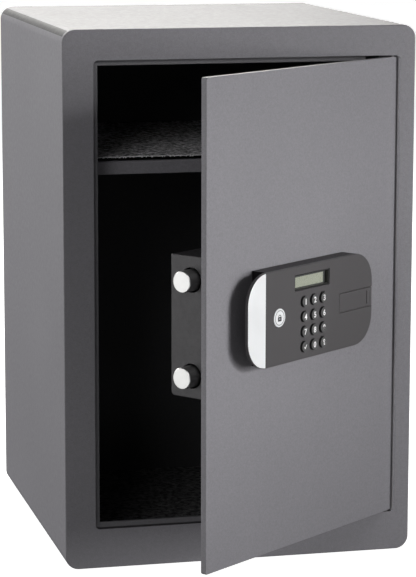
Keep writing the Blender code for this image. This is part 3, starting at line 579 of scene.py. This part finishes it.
# ---- cabinet
def make_cabinet():
    """The wrapped body, the front frame and the rear panel, with rounded edges."""
    low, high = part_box("body_wrapper")
    frame_low, frame_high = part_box("front_frame")
    rear_low, rear_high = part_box("rear_panel")
    outer = spanning(low, high, 0, BODY_RADIUS, 16)
    inner = spanning(low, high, -SHEET, BODY_RADIUS - SHEET, 16)
    wrap = plate(outer, [inner], frame_high.y, rear_low.y)
    wrap = carve(wrap, [drill(ANCHOR_RADIUS, -SHEET, 2 * SHEET, 32, at(x, y, 0))
                        for x, y in ANCHOR_PLACES["base"]])

    def is_painted_shade_inside(face):
        point = face.center
        half, base, top = high.x - SHEET / 2, low.z + SHEET / 2, high.z - SHEET / 2
        return int(abs(point.x) < half and base < point.z < top)

    # Faces inside the cabinet take the near-black painted shade.
    wrap.materials.clear()
    shell = add("cabinet_wrapper", paint(wrap, [PAINT, INSIDE_PAINTED_SHADE], is_painted_shade_inside), None)
    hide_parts("body_wrapper")
    doorway = rounded(*DOORWAY, DOORWAY_RADIUS, 8)
    face = plate(outer, [softer(doorway, 0.3)], frame_low.y, frame_high.y,
                 edge_start=CABINET_EDGE, steps=5)
    face = carve(face, [drill(PIN_BORE, z - PIN_REACH, z + PIN_REACH, 24, at(AXIS.x, AXIS.y, 0))
                        for z in (DOORWAY[1], DOORWAY[3])])
    face.materials.clear()

    # The doorway's inner edges: near-black painted shade on the left, top and sill; near-white painted
    # light on the hinge side.
    def doorway_painted_light_and_shade(polygon):
        point = polygon.center
        left, bottom, right, top = DOORWAY
        inside = left - MM < point.x < right + MM and bottom - MM < point.z < top + MM
        if not inside or abs(polygon.normal.y) > 0.5:
            return 0
        return 2 if polygon.normal.x < -0.5 else 1

    front = add("cabinet_front", paint(face, [PAINT, DOORWAY_PAINTED_SHADE, HINGE_EDGE_PAINTED_LIGHT], doorway_painted_light_and_shade), None)
    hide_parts("front_frame")
    holes = [circle(place, ANCHOR_RADIUS, 32) for place in ANCHOR_PLACES["rear"]]
    back = plate(outer, holes, rear_low.y, rear_high.y, edge_end=CABINET_EDGE, steps=4)
    # The rear panel's inner face takes the near-black painted shade too.
    paint(back, [PAINT, INSIDE_PAINTED_SHADE], lambda face: int(face.center.y < rear_low.y + 0.1 * MM))
    rear = add("cabinet_rear", back, None)
    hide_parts("rear_panel")


def make_door_stop():
    """The stop behind the frame that the closed door rests on."""
    low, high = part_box("door_stop_frame")
    reach, overlap = 5 * MM, 12 * MM
    inner = (low.x + overlap + reach, low.z + overlap + reach, high.z - overlap - reach)

    def outline(inset=0.0):
        a, b = low.x + inset, inner[0] - inset
        right = high.x - inset
        base, sill = low.z + inset, inner[1] - inset
        lintel, top = inner[2] + inset, high.z - inset
        return [(a, base), (right, base), (right, sill), (b, sill), (b, lintel), (right, lintel),
                (right, top), (a, top)]

    # The stop takes the darker copy of the paint: painted shade.
    stop = add("door_stop", plate(outline, [], low.y, high.y, edge_start=0.5 * MM), STOP_PAINTED_SHADE)
    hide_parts("door_stop_frame")


def make_hinges():
    """The pivot pins and the blocks that back them."""
    for end in ("upper", "lower"):
        low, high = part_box("hinge_pin_" + end)
        radius, tall = (high.x - low.x) / 2, high.z - low.z
        chamfer = 0.4 * MM
        profile = chamfered(radius, tall, chamfer) + [(0, tall)]
        mesh = lathe(profile, 32, at(AXIS.x, AXIS.y, low.z))
        pin = add("pivot_pin_" + end, mesh, PIN_STEEL)
        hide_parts("hinge_pin_" + end)
        low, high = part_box("hinge_bracket_" + end)
        block = add("pivot_block_" + end, slab(low, high, 0.8 * MM), PAINT)
        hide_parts("hinge_bracket_" + end)


def make_strike():
    """The folded angle with the two holes that the bolts enter."""
    low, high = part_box("strike_channel")
    sheet, reach = 2.5 * MM, 8 * MM
    face = high.x - sheet / 2
    line = [(face, low.y), (face, high.y - sheet / 2), (low.x, high.y - sheet / 2)]
    mesh = plate(folded(line, sheet, 2.5 * MM), [], low.z, high.z, along="z")
    drills = []
    for end in ("upper", "lower"):
        middle = middle_of("bolt_" + end)
        place = at(face, AXIS.y + middle.y, middle.z, FREE_WAYS)
        drills.append(drill(BOLT_HOLE_RADIUS, -reach, reach, 48, place))
    strike = add("strike_plate", carve(mesh, drills), DARK_PAINT)
    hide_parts("strike_channel")


def make_shelf():
    """The shelf with its turned-down lips, on two angles."""
    low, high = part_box("shelf")
    half = SHELF_SHEET / 2
    line = [(low.y + half, low.z), (low.y + half, high.z - half), (high.y - half, high.z - half),
            (high.y - half, low.z)]
    mesh = plate(folded(line, SHELF_SHEET, 1.5 * MM), [], low.x, high.x, along="x")
    shelf = add("shelf_tray", mesh, PAINT)
    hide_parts("shelf")
    for side, name in ((-1, "left"), (1, "right")):
        low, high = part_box("shelf_bracket_" + name)
        sheet = 1.2 * MM
        wall, leg = (high.x, low.x) if side > 0 else (low.x, high.x)
        upright = wall - side * sheet / 2
        line = [(leg, high.z - sheet / 2), (upright, high.z - sheet / 2), (upright, low.z)]
        mesh = plate(folded(line, sheet, 1.2 * MM), [], low.y, high.y)
        angle = add("shelf_angle_" + name, mesh, DARK_PAINT)
        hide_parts("shelf_bracket_" + name)


def pile(low, high, cell, depth, look):
    """A closed mat with a matted, uneven top."""
    shape = bmesh.new()
    columns, rows = (round((high[i] - low[i]) / cell) for i in (0, 1))
    grid = []
    for j in range(rows + 1):
        y = low.y + (high.y - low.y) * j / rows
        line = []
        for i in range(columns + 1):
            x = low.x + (high.x - low.x) * i / columns
            fine = noise.noise(Vector((x, y, 0)) * 420)
            broad = noise.noise(Vector((x, y, 9)) * 90)
            line.append(shape.verts.new((x, y, high.z - depth * (0.5 + 0.35 * fine + 0.25 * broad))))
        grid.append(line)
    for near, far in zip(grid, grid[1:]):
        for i in range(columns):
            shape.faces.new((near[i], near[i + 1], far[i + 1], far[i]))
    rim = grid[0] + [line[-1] for line in grid[1:]]
    rim += grid[-1][-2::-1] + [line[0] for line in grid[-2:0:-1]]
    base = [shape.verts.new((v.co.x, v.co.y, low.z)) for v in rim]
    for i in range(len(rim)):
        shape.faces.new((rim[i - 1], rim[i], base[i], base[i - 1]))
    shape.faces.new(base)
    # Faces that don't face up take the near-black painted shade.
    return paint(to_mesh(shape), [look, CARPET_SIDE_PAINTED_SHADE], lambda face: int(face.normal.z < 0.3))


def fringe(low, high, count, longest):
    """The matted fibres along a carpet's cut front edge, thicker in some places than in others."""
    draw = random.Random(7)
    shape = bmesh.new()
    step, deep, swing = 0.7 * MM, 0.6 * MM, 1.3 * MM
    before = None
    for i in range(int((high.x - low.x) / step) + 1):
        x = low.x + i * step
        tall = high.z + swing * noise.noise(Vector((x * 600, 5, 0)))
        front = low.y + 0.05 * MM + 0.5 * MM * noise.noise(Vector((x * 500, 8, 0)))
        rear, base = front + deep, high.z - swing
        ring = [shape.verts.new(point) for point in
                ((x, front, base), (x, front, tall), (x, rear, tall + 0.1 * MM), (x, rear, base))]
        if before:
            for k in range(4):
                shape.faces.new((before[k - 1], before[k], ring[k], ring[k - 1]))
        else:
            shape.faces.new(ring)
        before = ring
    shape.faces.new(before[::-1])
    for i in range(count):
        x = draw.uniform(low.x, high.x)
        thick = 0.5 + 0.5 * noise.noise(Vector((x * 60, 3, 0)))
        if draw.random() > 0.35 + 0.65 * thick:
            continue
        root = Vector((x, low.y + draw.uniform(0.2, 1.8) * MM, high.z - draw.uniform(0.3, 0.8) * MM))
        way = Vector((draw.gauss(0, 0.8), -draw.uniform(0.1, 0.7), draw.uniform(0.05, 0.6))).normalized()
        length = longest * (0.3 + 0.7 * draw.random() * thick)
        droop = Vector((0, 0, -length * draw.uniform(0, 0.3)))
        side = way.cross(Vector((0, 0, 1))).normalized() * FIBRE
        lift = Vector((0, 0, FIBRE))
        foot = [shape.verts.new(root + offset) for offset in (side, -side, lift)]
        knee_at = root + way * length * 0.55 + lift
        knee = [shape.verts.new(knee_at + offset * 0.8) for offset in (side, -side, lift)]
        tip = shape.verts.new(root + way * length + droop)
        for k in range(3):
            shape.faces.new((foot[k - 1], foot[k], knee[k], knee[k - 1]))
            shape.faces.new((knee[k - 1], knee[k], tip))
        shape.faces.new(foot)
    return to_mesh(shape)


def make_carpets():
    """The carpet on the shelf, with its frayed front edge, and the one on the floor."""
    # The shelf's carpet takes the lighter copy, which is painted light.
    places = {"shelf": ("shelf_mat", "shelf_tray", SHELF_CARPET_PAINTED_LIGHT),
              "floor": ("floor_mat", "cabinet_wrapper", FLOOR_CARPET)}
    for name, (node, rests, look) in places.items():
        low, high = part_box(node)
        mesh = pile(low, high, cell=2 * MM, depth=1.1 * MM, look=look)
        mat = add(name + "_carpet", mesh, look, sharp=70, weighted=False)
        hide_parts(node)
        # The fray's fibres are near-white: a painted highlight along the front edge.
        mesh = fringe(low, high, count=3600, longest=1.6 * MM)
        edge = add(name + "_carpet_fray", mesh, FRAY_PAINTED_HIGHLIGHT, sharp=180, weighted=False)


# ---- door
def make_door():
    """The door plate, with its edges broken and the bores for its pins, lock and cable."""
    low, high = local_box("door_plate")
    lock_low, lock_high = local_box("lock_cylinder")
    lock = (lock_low + lock_high) / 2

    def outline(inset=0.0):
        return rounded(low.x, low.z, high.x + 0.8 * inset, high.z, DOOR_RADIUS, 8)(inset)

    holes = [circle((lock.x, lock.z), (lock_high.x - lock_low.x) / 2 + GAP),
             circle(CABLE_HOLE, CABLE_HOLE_RADIUS)]
    mesh = plate(outline, holes, low.y, high.y, edge_start=0.7 * MM, edge_end=0.5 * MM, steps=4)
    bores = [drill(PIN_BORE, z - PIN_REACH, z + PIN_REACH, 24) for z in (low.z, high.z)]
    door = add("door_panel", carve(mesh, bores), PAINT, "door")
    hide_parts("door_plate")


HOUSING_LOW, HOUSING_HIGH = local_box("keypad_housing")
COVER_LOW, COVER_HIGH = local_box("override_cover")
FACE = HOUSING_LOW.y
HOUSING = spanning(HOUSING_LOW, HOUSING_HIGH, 0, HOUSING_RADIUS, 18)
BADGE_LOW, BADGE_HIGH = local_box("badge")
BADGE_CENTRE = ((BADGE_LOW.x + BADGE_HIGH.x) / 2, (BADGE_LOW.z + BADGE_HIGH.z) / 2)
BADGE_RADIUS = (BADGE_HIGH.x - BADGE_LOW.x) / 2
BADGE_SEAT_RADIUS = 9.2 * MM
LOCK_WINDOW_RADIUS = 8.3 * MM    # the hole behind the sliding cover
KEYS = [name for name in frame["bodies"] if name.startswith("key_") and name != "key_plug"]


def notched(inset=0.0):
    """The keypad's face: the housing's outline with a slot for the sliding cover at its right end."""
    points = HOUSING(inset)
    middle = 0.5 * (HOUSING_LOW.x + HOUSING_HIGH.x)
    right = [p for p in points if p[1] < COVER_LOW.z and p[0] > middle]
    slot_left = COVER_LOW.x - GAP - inset
    low, high = COVER_LOW.z - GAP - inset, COVER_HIGH.z + GAP + inset
    edge = HOUSING_HIGH.x - inset
    split = points.index(right[-1]) + 1
    slot = [(edge, low), (slot_left, low), (slot_left, high), (edge, high)]
    return points[:split] + slot + points[split:]


def strip_loop(spread=0.0):
    """The left end of the face's outline, cut off straight; spread widens it."""
    margin = STRIP_EDGE - spread
    radius = HOUSING_RADIUS - margin
    limit = local_box("trim_strip")[1].x + spread
    low, high = HOUSING_LOW.z + margin, HOUSING_HIGH.z - margin
    steps = 16
    whole = rounded(HOUSING_LOW.x + margin, low, limit + 2 * radius, high, (radius, 0, 0, radius), steps)

    def outline(inset=0.0):
        points = whole(inset)
        ends = [(limit - inset, low + inset), (limit - inset, high - inset)]
        return points[:steps] + ends + points[steps + 4:]
    return outline


def make_housing():
    """The keypad's grey face, which overhangs as a finger grip, and the black body that carries it."""
    lock = middle_of("lock_cylinder")
    badge = circle(BADGE_CENTRE, BADGE_RADIUS + GAP, 48)
    view = spanning(*local_box("display_bezel"), GAP)
    key_holes = [circle((middle_of(key).x, middle_of(key).z), KEY_HOLE_RADIUS, 36) for key in KEYS]
    holes = [softer(hole, 0.4) for hole in [badge, view, *key_holes]]
    face = plate(notched, holes, FACE, FACE + FACE_WALL, edge_start=0.6 * MM, steps=4)
    face = carve(face, [plate(strip_loop(0.12 * MM), [], FACE - MM, FACE + STRIP_DEPTH)])
    add("keypad_face", face, FACE_PLASTIC, "door", sharp=35)
    strip = plate(strip_loop(), [], FACE + 0.1 * MM, FACE + STRIP_DEPTH - 0.02 * MM,
                  edge_start=0.4 * MM, steps=4)
    bright = add("keypad_strip", strip, SILVER, "door")
    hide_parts("trim_strip")
    radius = HOUSING_RADIUS
    outer = rounded(GRIP_END, HOUSING_LOW.z, HOUSING_HIGH.x, HOUSING_HIGH.z, (0, radius, radius, 0), 18)
    wall, back = HOUSING_WALL, HOUSING_HIGH.y
    radius -= wall
    inner = rounded(GRIP_END + wall, HOUSING_LOW.z + wall, HOUSING_HIGH.x - wall, HOUSING_HIGH.z - wall,
                    (0, radius, radius, 0), 18)
    shape = bmesh.new()
    plate_into(shape, outer, [inner], FACE + FACE_WALL + 0.02 * MM, back, edge_start=0.3 * MM)
    floor = rounded(COVER_LOW.x - GAP, COVER_LOW.z - GAP, HOUSING_HIGH.x - 0.3 * MM, COVER_HIGH.z + GAP)
    hole = circle((lock.x, lock.z), LOCK_WINDOW_RADIUS, 48)
    plate_into(shape, floor, [hole], FACE + COVER_RECESS, FACE + FACE_WALL)
    seat = circle(BADGE_CENTRE, BADGE_SEAT_RADIUS, 48)
    plate_into(shape, seat, [], FACE + BADGE_DEPTH, FACE + FACE_WALL - 0.1 * MM)
    shell = add("keypad_body", to_mesh(shape), SIDE_PLASTIC, "door")
    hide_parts("keypad_housing")


def make_badge():
    """A plain round badge with a padlock sign."""
    middle = middle_of("badge")
    centre = (middle.x, middle.z)
    round_disc = plate(circle(centre, BADGE_RADIUS, 64), [], BADGE_LOW.y,
                       FACE + BADGE_DEPTH - 0.1 * MM, edge_start=0.35 * MM)
    disc = add("badge_disc", round_disc, BADGE_WHITE, "door")
    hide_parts("badge")
    print_depth = 0.06 * MM
    shape = bmesh.new()
    body = rounded(-2.7 * MM, -3.2 * MM, 2.7 * MM, 0.9 * MM, 0.6 * MM, 4)()
    bow = arc((0, 0.9 * MM), 2.1 * MM, 0, math.pi) + arc((0, 0.9 * MM), 1.35 * MM, math.pi, 0)
    keyhole = circle((centre[0], centre[1] - MM), 0.7 * MM, 20)
    for rim, holes in ((moved(body, *centre), [keyhole]), (moved(bow, *centre), []),
                       (circle(centre, 6.9 * MM, 64), [circle(centre, 6.4 * MM, 64)])):
        plate_into(shape, rim, holes, BADGE_LOW.y - print_depth, BADGE_LOW.y + print_depth)
    add("badge_sign", to_mesh(shape), BADGE_MARK, "door")


def make_display():
    """The display: a black surround, a grey-green screen and a clear pane."""
    low, high = local_box("display_bezel")
    width = 1.2 * MM
    surround = plate(spanning(low, high), [spanning(low, high, -width)], low.y + 0.4 * MM, high.y,
                     edge_start=0.3 * MM)
    bezel = add("display_surround", surround, BLACK_PLASTIC, "door")
    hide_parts("display_bezel")
    glass = slab(*local_box("display_window"), 0.15 * MM)
    pane = add("display_pane", glass, GLASS, "door")
    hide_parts("display_window")
    back_low, back_high = local_box("display_module")
    outline = spanning(back_low, back_high, 0, 0.8 * MM, 4)
    module = plate(outline, [], back_low.y, back_high.y, edge_start=0.1 * MM)
    # A black mask round the screen, widest at the top: partly the screen's own border, partly painted
    # shade from the surround's top lip.
    lit = rounded(low.x + 2.0 * MM, low.z + 1.4 * MM, high.x - 2.8 * MM, high.z - 3.2 * MM, 0.4 * MM, 4)
    mask_and_shade = plate(outline, [lit], back_low.y - 0.12 * MM, back_low.y)
    screen = add("display_screen", module, LCD, "door")
    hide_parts("display_module")
    add("display_mask", mask_and_shade, BLACK_PLASTIC, "door")


# ---- keys
def lettering(text, size, bold):
    """A flat legend cut from text, centred on the origin and facing -Y."""
    curve = bpy.data.curves.new("legend", "FONT")
    curve.body = text
    curve.size = size
    curve.offset = bold
    curve.extrude = 0.05 * MM
    mesh = frozen(link(bpy.data.objects.new("legend_guide", curve)))
    corners = [v.co for v in mesh.vertices]
    middle = [(min(c[i] for c in corners) + max(c[i] for c in corners)) / 2 for i in (0, 1)]
    mesh.transform(FACE_OUT @ Matrix.Translation((-middle[0], -middle[1], 0)))
    mesh.materials.clear()
    return mesh


def sign(rim, holes=()):
    """A flat sign cut from a rim with holes, facing -Y like the lettering."""
    return plate(fixed(rim), holes, -0.05 * MM, 0.05 * MM)


def tick_sign():
    points = [(-1.9 * MM, 0.1 * MM), (-0.6 * MM, -1.6 * MM), (1.9 * MM, 1.9 * MM)]
    return sign(stroke(points, 0.85 * MM))


def key_sign():
    """The sign of a key: a round bow, a shaft and two teeth."""
    bow, shaft = 1.35 * MM, 0.4 * MM
    centre = (0, 1.5 * MM)
    half = math.asin(shaft / bow)
    rim = arc(centre, bow, -math.pi / 2 + half, math.pi * 1.5 - half, 24)
    low, tooth = -2.7 * MM, 1.5 * MM
    shank = [(-shaft, low), (tooth, low), (tooth, low + 0.7 * MM), (shaft, low + 0.7 * MM),
             (shaft, low + 1.3 * MM), (tooth * 0.85, low + 1.3 * MM), (tooth * 0.85, low + 2 * MM),
             (shaft, low + 2 * MM)]
    return sign(rim + shank, [circle(centre, 0.6 * MM, 20)])


def key_cap(height):
    """The profile of a key: a flange, a straight side and a rounded crown with a shallow dish."""
    crown = 0.55 * MM
    flange, step = KEY_FLANGE
    dish = KEY_RADIUS - crown
    profile = [(0, 0), (flange, 0), (flange, step), (KEY_RADIUS, step)]
    profile += arc((dish, height - crown), crown, 0, math.pi / 2, 6)
    return profile + [(dish - 0.25 * MM, height - 0.03 * MM), (dish - 0.5 * MM, height - 0.16 * MM),
                      (0, height - 0.2 * MM)]


def make_keys():
    """Twelve round keys, each with its legend printed in the dish."""
    for key in KEYS:
        low, high = local_box(key)
        middle = (low + high) / 2
        height = high.y - low.y
        side_top = height - 0.45 * MM
        mesh = lathe(key_cap(height), 40, FACE_OUT)
        paint(mesh, [KEY_RUBBER, KEY_SIDE], lambda face: int(-face.center.y < side_top))
        place = DOOR @ at(middle.x, high.y, middle.z)
        cap = add(key + "_cap", mesh, None, key, place, sharp=50)
        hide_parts(key)
        name = key.split("_")[1]
        signs = {"confirm": tick_sign, "lock": key_sign}
        mesh = signs[name]() if name in signs else lettering(name, size=7.4 * MM, bold=0.2 * MM)
        place = DOOR @ at(middle.x, low.y + 0.17 * MM, middle.z)
        add(key + "_legend", mesh, LEGEND, key, place, weighted=False)


def make_override():
    """The sliding cover with its thumb ridge, and the lock behind it."""
    back = COVER_HIGH.y
    outline = spanning(COVER_LOW, COVER_HIGH, 0, 1 * MM, 4)
    shape = bmesh.new()
    plate_into(shape, outline, [], back - COVER_THICKNESS, back, edge_start=0.4 * MM)
    wide, tall = 1.1 * MM, 6.5 * MM
    middle = (COVER_LOW.z + COVER_HIGH.z) / 2
    ridge = rounded(RIDGE_X - wide, middle - tall, RIDGE_X + wide, middle + tall, 0.8 * MM, 4)
    plate_into(shape, ridge, [], COVER_LOW.y, back - COVER_THICKNESS / 2, edge_start=0.7 * MM, steps=4)
    cover = add("keyhole_cover", to_mesh(shape), FACE_PLASTIC, "override_cover")
    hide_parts("override_cover")
    low, high = local_box("lock_cylinder")
    centre = (low + high) / 2
    radius = (high.x - low.x) / 2
    bore = 4.8 * MM
    rim, hole = (circle((centre.x, centre.z), size, 48) for size in (radius, bore))
    ring = plate(rim, [hole], low.y, high.y, edge_start=0.5 * MM)
    barrel = add("lock_barrel", ring, CHROME, "door")
    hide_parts("lock_cylinder")
    low, high = local_box("key_plug")
    length = high.y - low.y
    plug_radius, shaft_radius, shoulder = 4.5 * MM, 3 * MM, 44 * MM
    step = length - shoulder
    profile = [(0, 0), (shaft_radius, 0), (shaft_radius, step), (plug_radius, step),
               (plug_radius, length - 0.4 * MM), (plug_radius - 0.4 * MM, length), (0, length)]
    slot = slab((-0.8 * MM, -(length + MM), -3.5 * MM), (0.8 * MM, -(length - 6 * MM), 3.5 * MM))
    plug = add("lock_plug", carve(lathe(profile, 48, FACE_OUT), [slot]), BRASS, "key_plug",
               DOOR @ at(centre.x, high.y, centre.z))
    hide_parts("key_plug")


# ---- lock case
CASE_LOW, CASE_HIGH = local_box("lock_case")


def case_outline(inset=0.0):
    """The lock case seen along the door, open towards the door plate."""
    top_radius = 1.5 * MM
    shape = rounded(CASE_LOW.y, CASE_LOW.z, CASE_HIGH.y, CASE_HIGH.z, (0, CASE_RADIUS, top_radius, 0), 8)
    points = shape(inset)
    return [(max(y, CASE_LOW.y) if y > CASE_LOW.y + 2 * inset else CASE_LOW.y, z) for y, z in points]


def make_lock_case():
    """The end plate that the bolts pass, and the folded black case behind it."""
    joint = CASE_LOW.x + END_PLATE
    hollow = rounded(CASE_LOW.y - MM, CASE_LOW.z + CASE_WALL, CASE_HIGH.y - CASE_WALL,
                     CASE_HIGH.z - CASE_WALL, (0, CASE_RADIUS - CASE_WALL, 0.2 * MM, 0), 6)
    soft = 0.5 * MM
    drills = []
    for end in ("upper", "lower"):
        middle = middle_of("bolt_" + end)
        profile = [(0, -4 * MM), (BOLT_HOLE_RADIUS, -4 * MM), (BOLT_HOLE_RADIUS, -soft),
                   (BOLT_HOLE_RADIUS + 0.3 * soft, -0.3 * soft), (BOLT_HOLE_RADIUS + soft, 0),
                   (BOLT_HOLE_RADIUS + soft, 2 * MM), (0, 2 * MM)]
        drills.append(lathe(profile, 56, at(CASE_LOW.x, middle.y, middle.z, FREE_WAYS)))
    end_plate = plate(case_outline, [], CASE_LOW.x, joint, along="x", edge_start=0.9 * MM, steps=5)
    add("lock_end_plate", carve(end_plate, drills), END_PAINT, "door")
    block = plate(softer(case_outline, 0.5), [], joint + 0.05 * MM, CASE_HIGH.x, along="x",
                  edge_start=0.3 * MM, edge_end=0.8 * MM, steps=4)
    cuts = [plate(hollow, [], joint - MM, CASE_HIGH.x - CASE_WALL, along="x")]
    low, high = local_box("battery_holder")
    cuts.append(slab((low.x + SHEET, CASE_HIGH.y - 2 * CASE_WALL, low.z + SHEET),
                     (high.x - SHEET, CASE_HIGH.y + CASE_WALL, high.z - SHEET)))
    button = middle_of("reset_button")
    cuts.append(plate(circle((button.x, button.z), 4.3 * MM, 32), [], CASE_HIGH.y - 2 * CASE_WALL,
                      CASE_HIGH.y + MM))
    case = add("lock_case_cover", carve(block, cuts), DARK_PAINT, "door")
    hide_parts("lock_case")


def make_bolts():
    """The two round bolts, turned with a chamfered nose."""
    for end in ("upper", "lower"):
        low, high = local_box("bolt_" + end)
        middle = (low + high) / 2
        radius, length = (high.z - low.z) / 2, high.x - low.x
        nose = 0.7 * MM
        profile = [(0, 0), (radius, 0), (radius, length - nose),
                   (radius - 0.15 * MM, length - nose + 0.25 * MM),
                   (radius - nose + 0.15 * MM, length - 0.15 * MM), (radius - nose, length), (0, length)]
        place = DOOR @ at(high.x, middle.y, middle.z)
        rod = add("bolt_rod_" + end, lathe(profile, 64, FREE_WAYS), CHROME, "bolt_carriage",
                  place, sharp=20)
        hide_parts("bolt_" + end)


def screw_into(shape, x, y, z):
    """Adds a pan-head screw that faces into the cabinet."""
    radius, tall = 2.6 * MM, 1.5 * MM
    side = 0.5 * MM
    profile = [(0, -2 * MM), (1.2 * MM, -2 * MM), (1.2 * MM, 0), (radius, 0), (radius, side)]
    profile += [(radius * math.cos(turn), side + (tall - side) * math.sin(turn))
                for turn in (0.4, 0.8, 1.2)]
    profile += [(0, tall)]
    head = lathe(profile, 28, FACE_IN)
    slots = [slab((-1.6 * MM, 0.8 * MM, -0.35 * MM), (1.6 * MM, 3 * MM, 0.35 * MM)),
             slab((-0.35 * MM, 0.8 * MM, -1.6 * MM), (0.35 * MM, 3 * MM, 1.6 * MM))]
    head = carve(head, slots)
    head.transform(at(x, y, z))
    shape.from_mesh(head)


def make_case_fittings():
    """The battery door on its rails, the reset button and the screws of the lock case."""
    low, high = local_box("battery_door")
    shape = bmesh.new()
    lid = spanning(low, high, 0, 1.5 * MM, 6)
    plate_into(shape, lid, [], low.y, high.y, edge_end=0.4 * MM)
    middle, reach = (low.z + high.z) / 2, 8 * MM
    for i in range(4):
        x = high.x - (8 + 3 * i) * MM
        slab_into(shape, (x, high.y - 0.2 * MM, middle - reach),
                  (x + 1.2 * MM, high.y + 0.7 * MM, middle + reach), 0.4 * MM)
    door = add("battery_lid", to_mesh(shape), DARK_PAINT, "battery_door")
    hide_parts("battery_door")
    shape = bmesh.new()
    sheet, reach = 0.8 * MM, 2.2 * MM
    over = high.y + GAP + sheet / 2
    for side, edge in ((-1, low.z), (1, high.z)):
        wall = edge + side * (GAP + sheet / 2)
        line = [(CASE_HIGH.y, wall), (over, wall), (over, edge - side * reach)]
        rail = folded(line, sheet, 0.8 * MM)
        plate_into(shape, rail, [], low.x - MM, CASE_HIGH.x - 1.5 * MM, along="x")
    add("battery_lid_rails", to_mesh(shape), DARK_PAINT, "door")
    low, high = local_box("reset_button")
    middle, tall = (low + high) / 2, high.y - low.y
    profile = [(0, 0), (5 * MM, 0), (5 * MM, 1.5 * MM), (4 * MM, 1.5 * MM)]
    profile += arc((3.2 * MM, tall - 0.8 * MM), 0.8 * MM, 0, math.pi / 2, 5) + [(0, tall)]
    place = DOOR @ at(middle.x, low.y, middle.z)
    button = add("reset_cap", lathe(profile, 40, FACE_IN), RED, "reset_button", place)
    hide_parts("reset_button")
    shape = bmesh.new()
    inset = 9 * MM
    clear_of_lid = (CASE_LOW.z + CASE_HIGH.z) / 2 - inset
    near, far = CASE_LOW.x + inset, CASE_HIGH.x - inset
    for x, z in ((near, CASE_LOW.z + inset), (near, CASE_HIGH.z - inset), (far, CASE_HIGH.z - inset),
                 (far, clear_of_lid)):
        screw_into(shape, x, CASE_HIGH.y, z)
    add("case_screws", to_mesh(shape), ZINC, "door")


def make_cells():
    """The four cells, each with a wrap, bare ends and a nib."""
    for number in range(1, 5):
        low, high = local_box("battery_%d" % number)
        middle = (low + high) / 2
        radius, length = (high.z - low.z) / 2, high.x - low.x
        nib, soft = 1.0 * MM, 0.5 * MM
        top = length - nib
        profile = chamfered(radius, top, soft)
        profile += [(2.7 * MM, top - 0.1 * MM), (2.7 * MM, length - 0.2 * MM), (2.5 * MM, length),
                    (0, length)]

        def is_bare(face):
            along = abs(face.center.x)
            return int(abs(face.normal.x) > 0.5 and along < 0.2 * MM or along > top - 0.3 * MM)

        starts_left = number % 2
        turn = Matrix.Rotation(math.pi / 2 if starts_left else -math.pi / 2, 4, "Y")
        mesh = paint(lathe(profile, 36, turn), [CELL, ZINC], is_bare)
        place = DOOR @ at(low.x if starts_left else high.x, middle.y, middle.z)
        cell = add("cell_%d" % number, mesh, None, "door", place)
        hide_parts("battery_%d" % number)


for build in (make_camera, dress_cad, make_cabinet, make_door_stop, make_hinges, make_strike,
              make_shelf, make_carpets, make_door, make_housing, make_badge, make_display, make_keys,
              make_override, make_lock_case, make_bolts, make_case_fittings, make_cells):
    build()


# ---- studio
def hang(data, place, aim, power):
    """Links a light that the camera doesn't see, and aims it."""
    data.energy = power
    light = link(bpy.data.objects.new(data.name, data))
    light.visible_camera = False
    light.location = place
    light.rotation_euler = (Vector(aim) - Vector(place)).to_track_quat("-Z", "Y").to_euler()


def area_light(name, place, aim, size, power, colour=(1, 1, 1)):
    """A rectangular soft light."""
    data = bpy.data.lights.new(name, "AREA")
    data.shape = "RECTANGLE"
    data.size, data.size_y = size
    data.color = colour
    hang(data, place, aim, power)


def spot_light(name, place, aim, angle, power):
    """A soft-edged pool of light."""
    data = bpy.data.lights.new(name, "SPOT")
    data.spot_size = math.radians(angle)
    data.spot_blend = 1.0
    data.shadow_soft_size = 0.3
    hang(data, place, aim, power)


def make_studio():
    """A white floor and surround, soft lights from all round and two spots on the door and the frame."""
    world = bpy.data.worlds.new("studio")
    bpy.context.scene.world = world
    world.use_nodes = True
    tree = world.node_tree
    background = tree.nodes["Background"]
    seen = tree.nodes.new("ShaderNodeLightPath").outputs["Is Camera Ray"]
    level = tree.nodes.new("ShaderNodeMapRange")
    level.inputs["To Min"].default_value = 0.06
    level.inputs["To Max"].default_value = 1.0
    tree.links.new(seen, level.inputs["Value"])
    tree.links.new(level.outputs["Result"], background.inputs["Strength"])
    background.inputs["Color"].default_value = (1, 1, 1, 1)
    middle = (0, -0.1, 0.27)
    warm = (1.0, 0.985, 0.95)
    area_light("back_top", (0.0, 2.2, 2.0), middle, (2.0, 1.6), 80, warm)
    area_light("left_back", (-2.4, 1.5, 0.9), middle, (1.6, 1.6), 56)
    area_light("left_card", (-1.8, -0.25, 0.1), (0, -0.25, 0.05), (1.3, 1.0), 7)
    area_light("left_front", (-1.3, -2.2, 1.35), middle, (1.0, 1.0), 11.5)
    area_light("floor_bounce", (-0.15, -0.85, 0.01), (-0.1, -0.2, 0.05), (0.8, 0.15), 0.42)
    area_light("key", (1.9, -1.7, 0.22), middle, (1.2, 1.2), 47)
    free_edge = DOOR @ Vector((local_box("door_plate")[0].x, 0, 0.31))
    spot_light("door_glow", (1.9, -1.7, 0.9), free_edge, 13, 250)
    spot_light("hinge_side_glow", (2.0, -2.2, 1.1), (0.29, -0.18, 0.46), 15, 90)
    bpy.ops.mesh.primitive_plane_add(size=60, location=(0, 0, -0.0005))
    floor = bpy.context.object
    floor.name = "floor"
    floor.visible_diffuse = False
    floor.visible_glossy = False
    look = Look("floor_look", (0.5, 0.5, 0.5), 0.8)
    look.shade(look.noise(2.0), 0.99, 1.01)
    look.set("Emission Color", (1, 1, 1, 1))
    look.set("Emission Strength", 0.97)
    floor.data.materials.append(look.material)
    bpy.context.scene.view_settings.view_transform = "Standard"


make_studio()
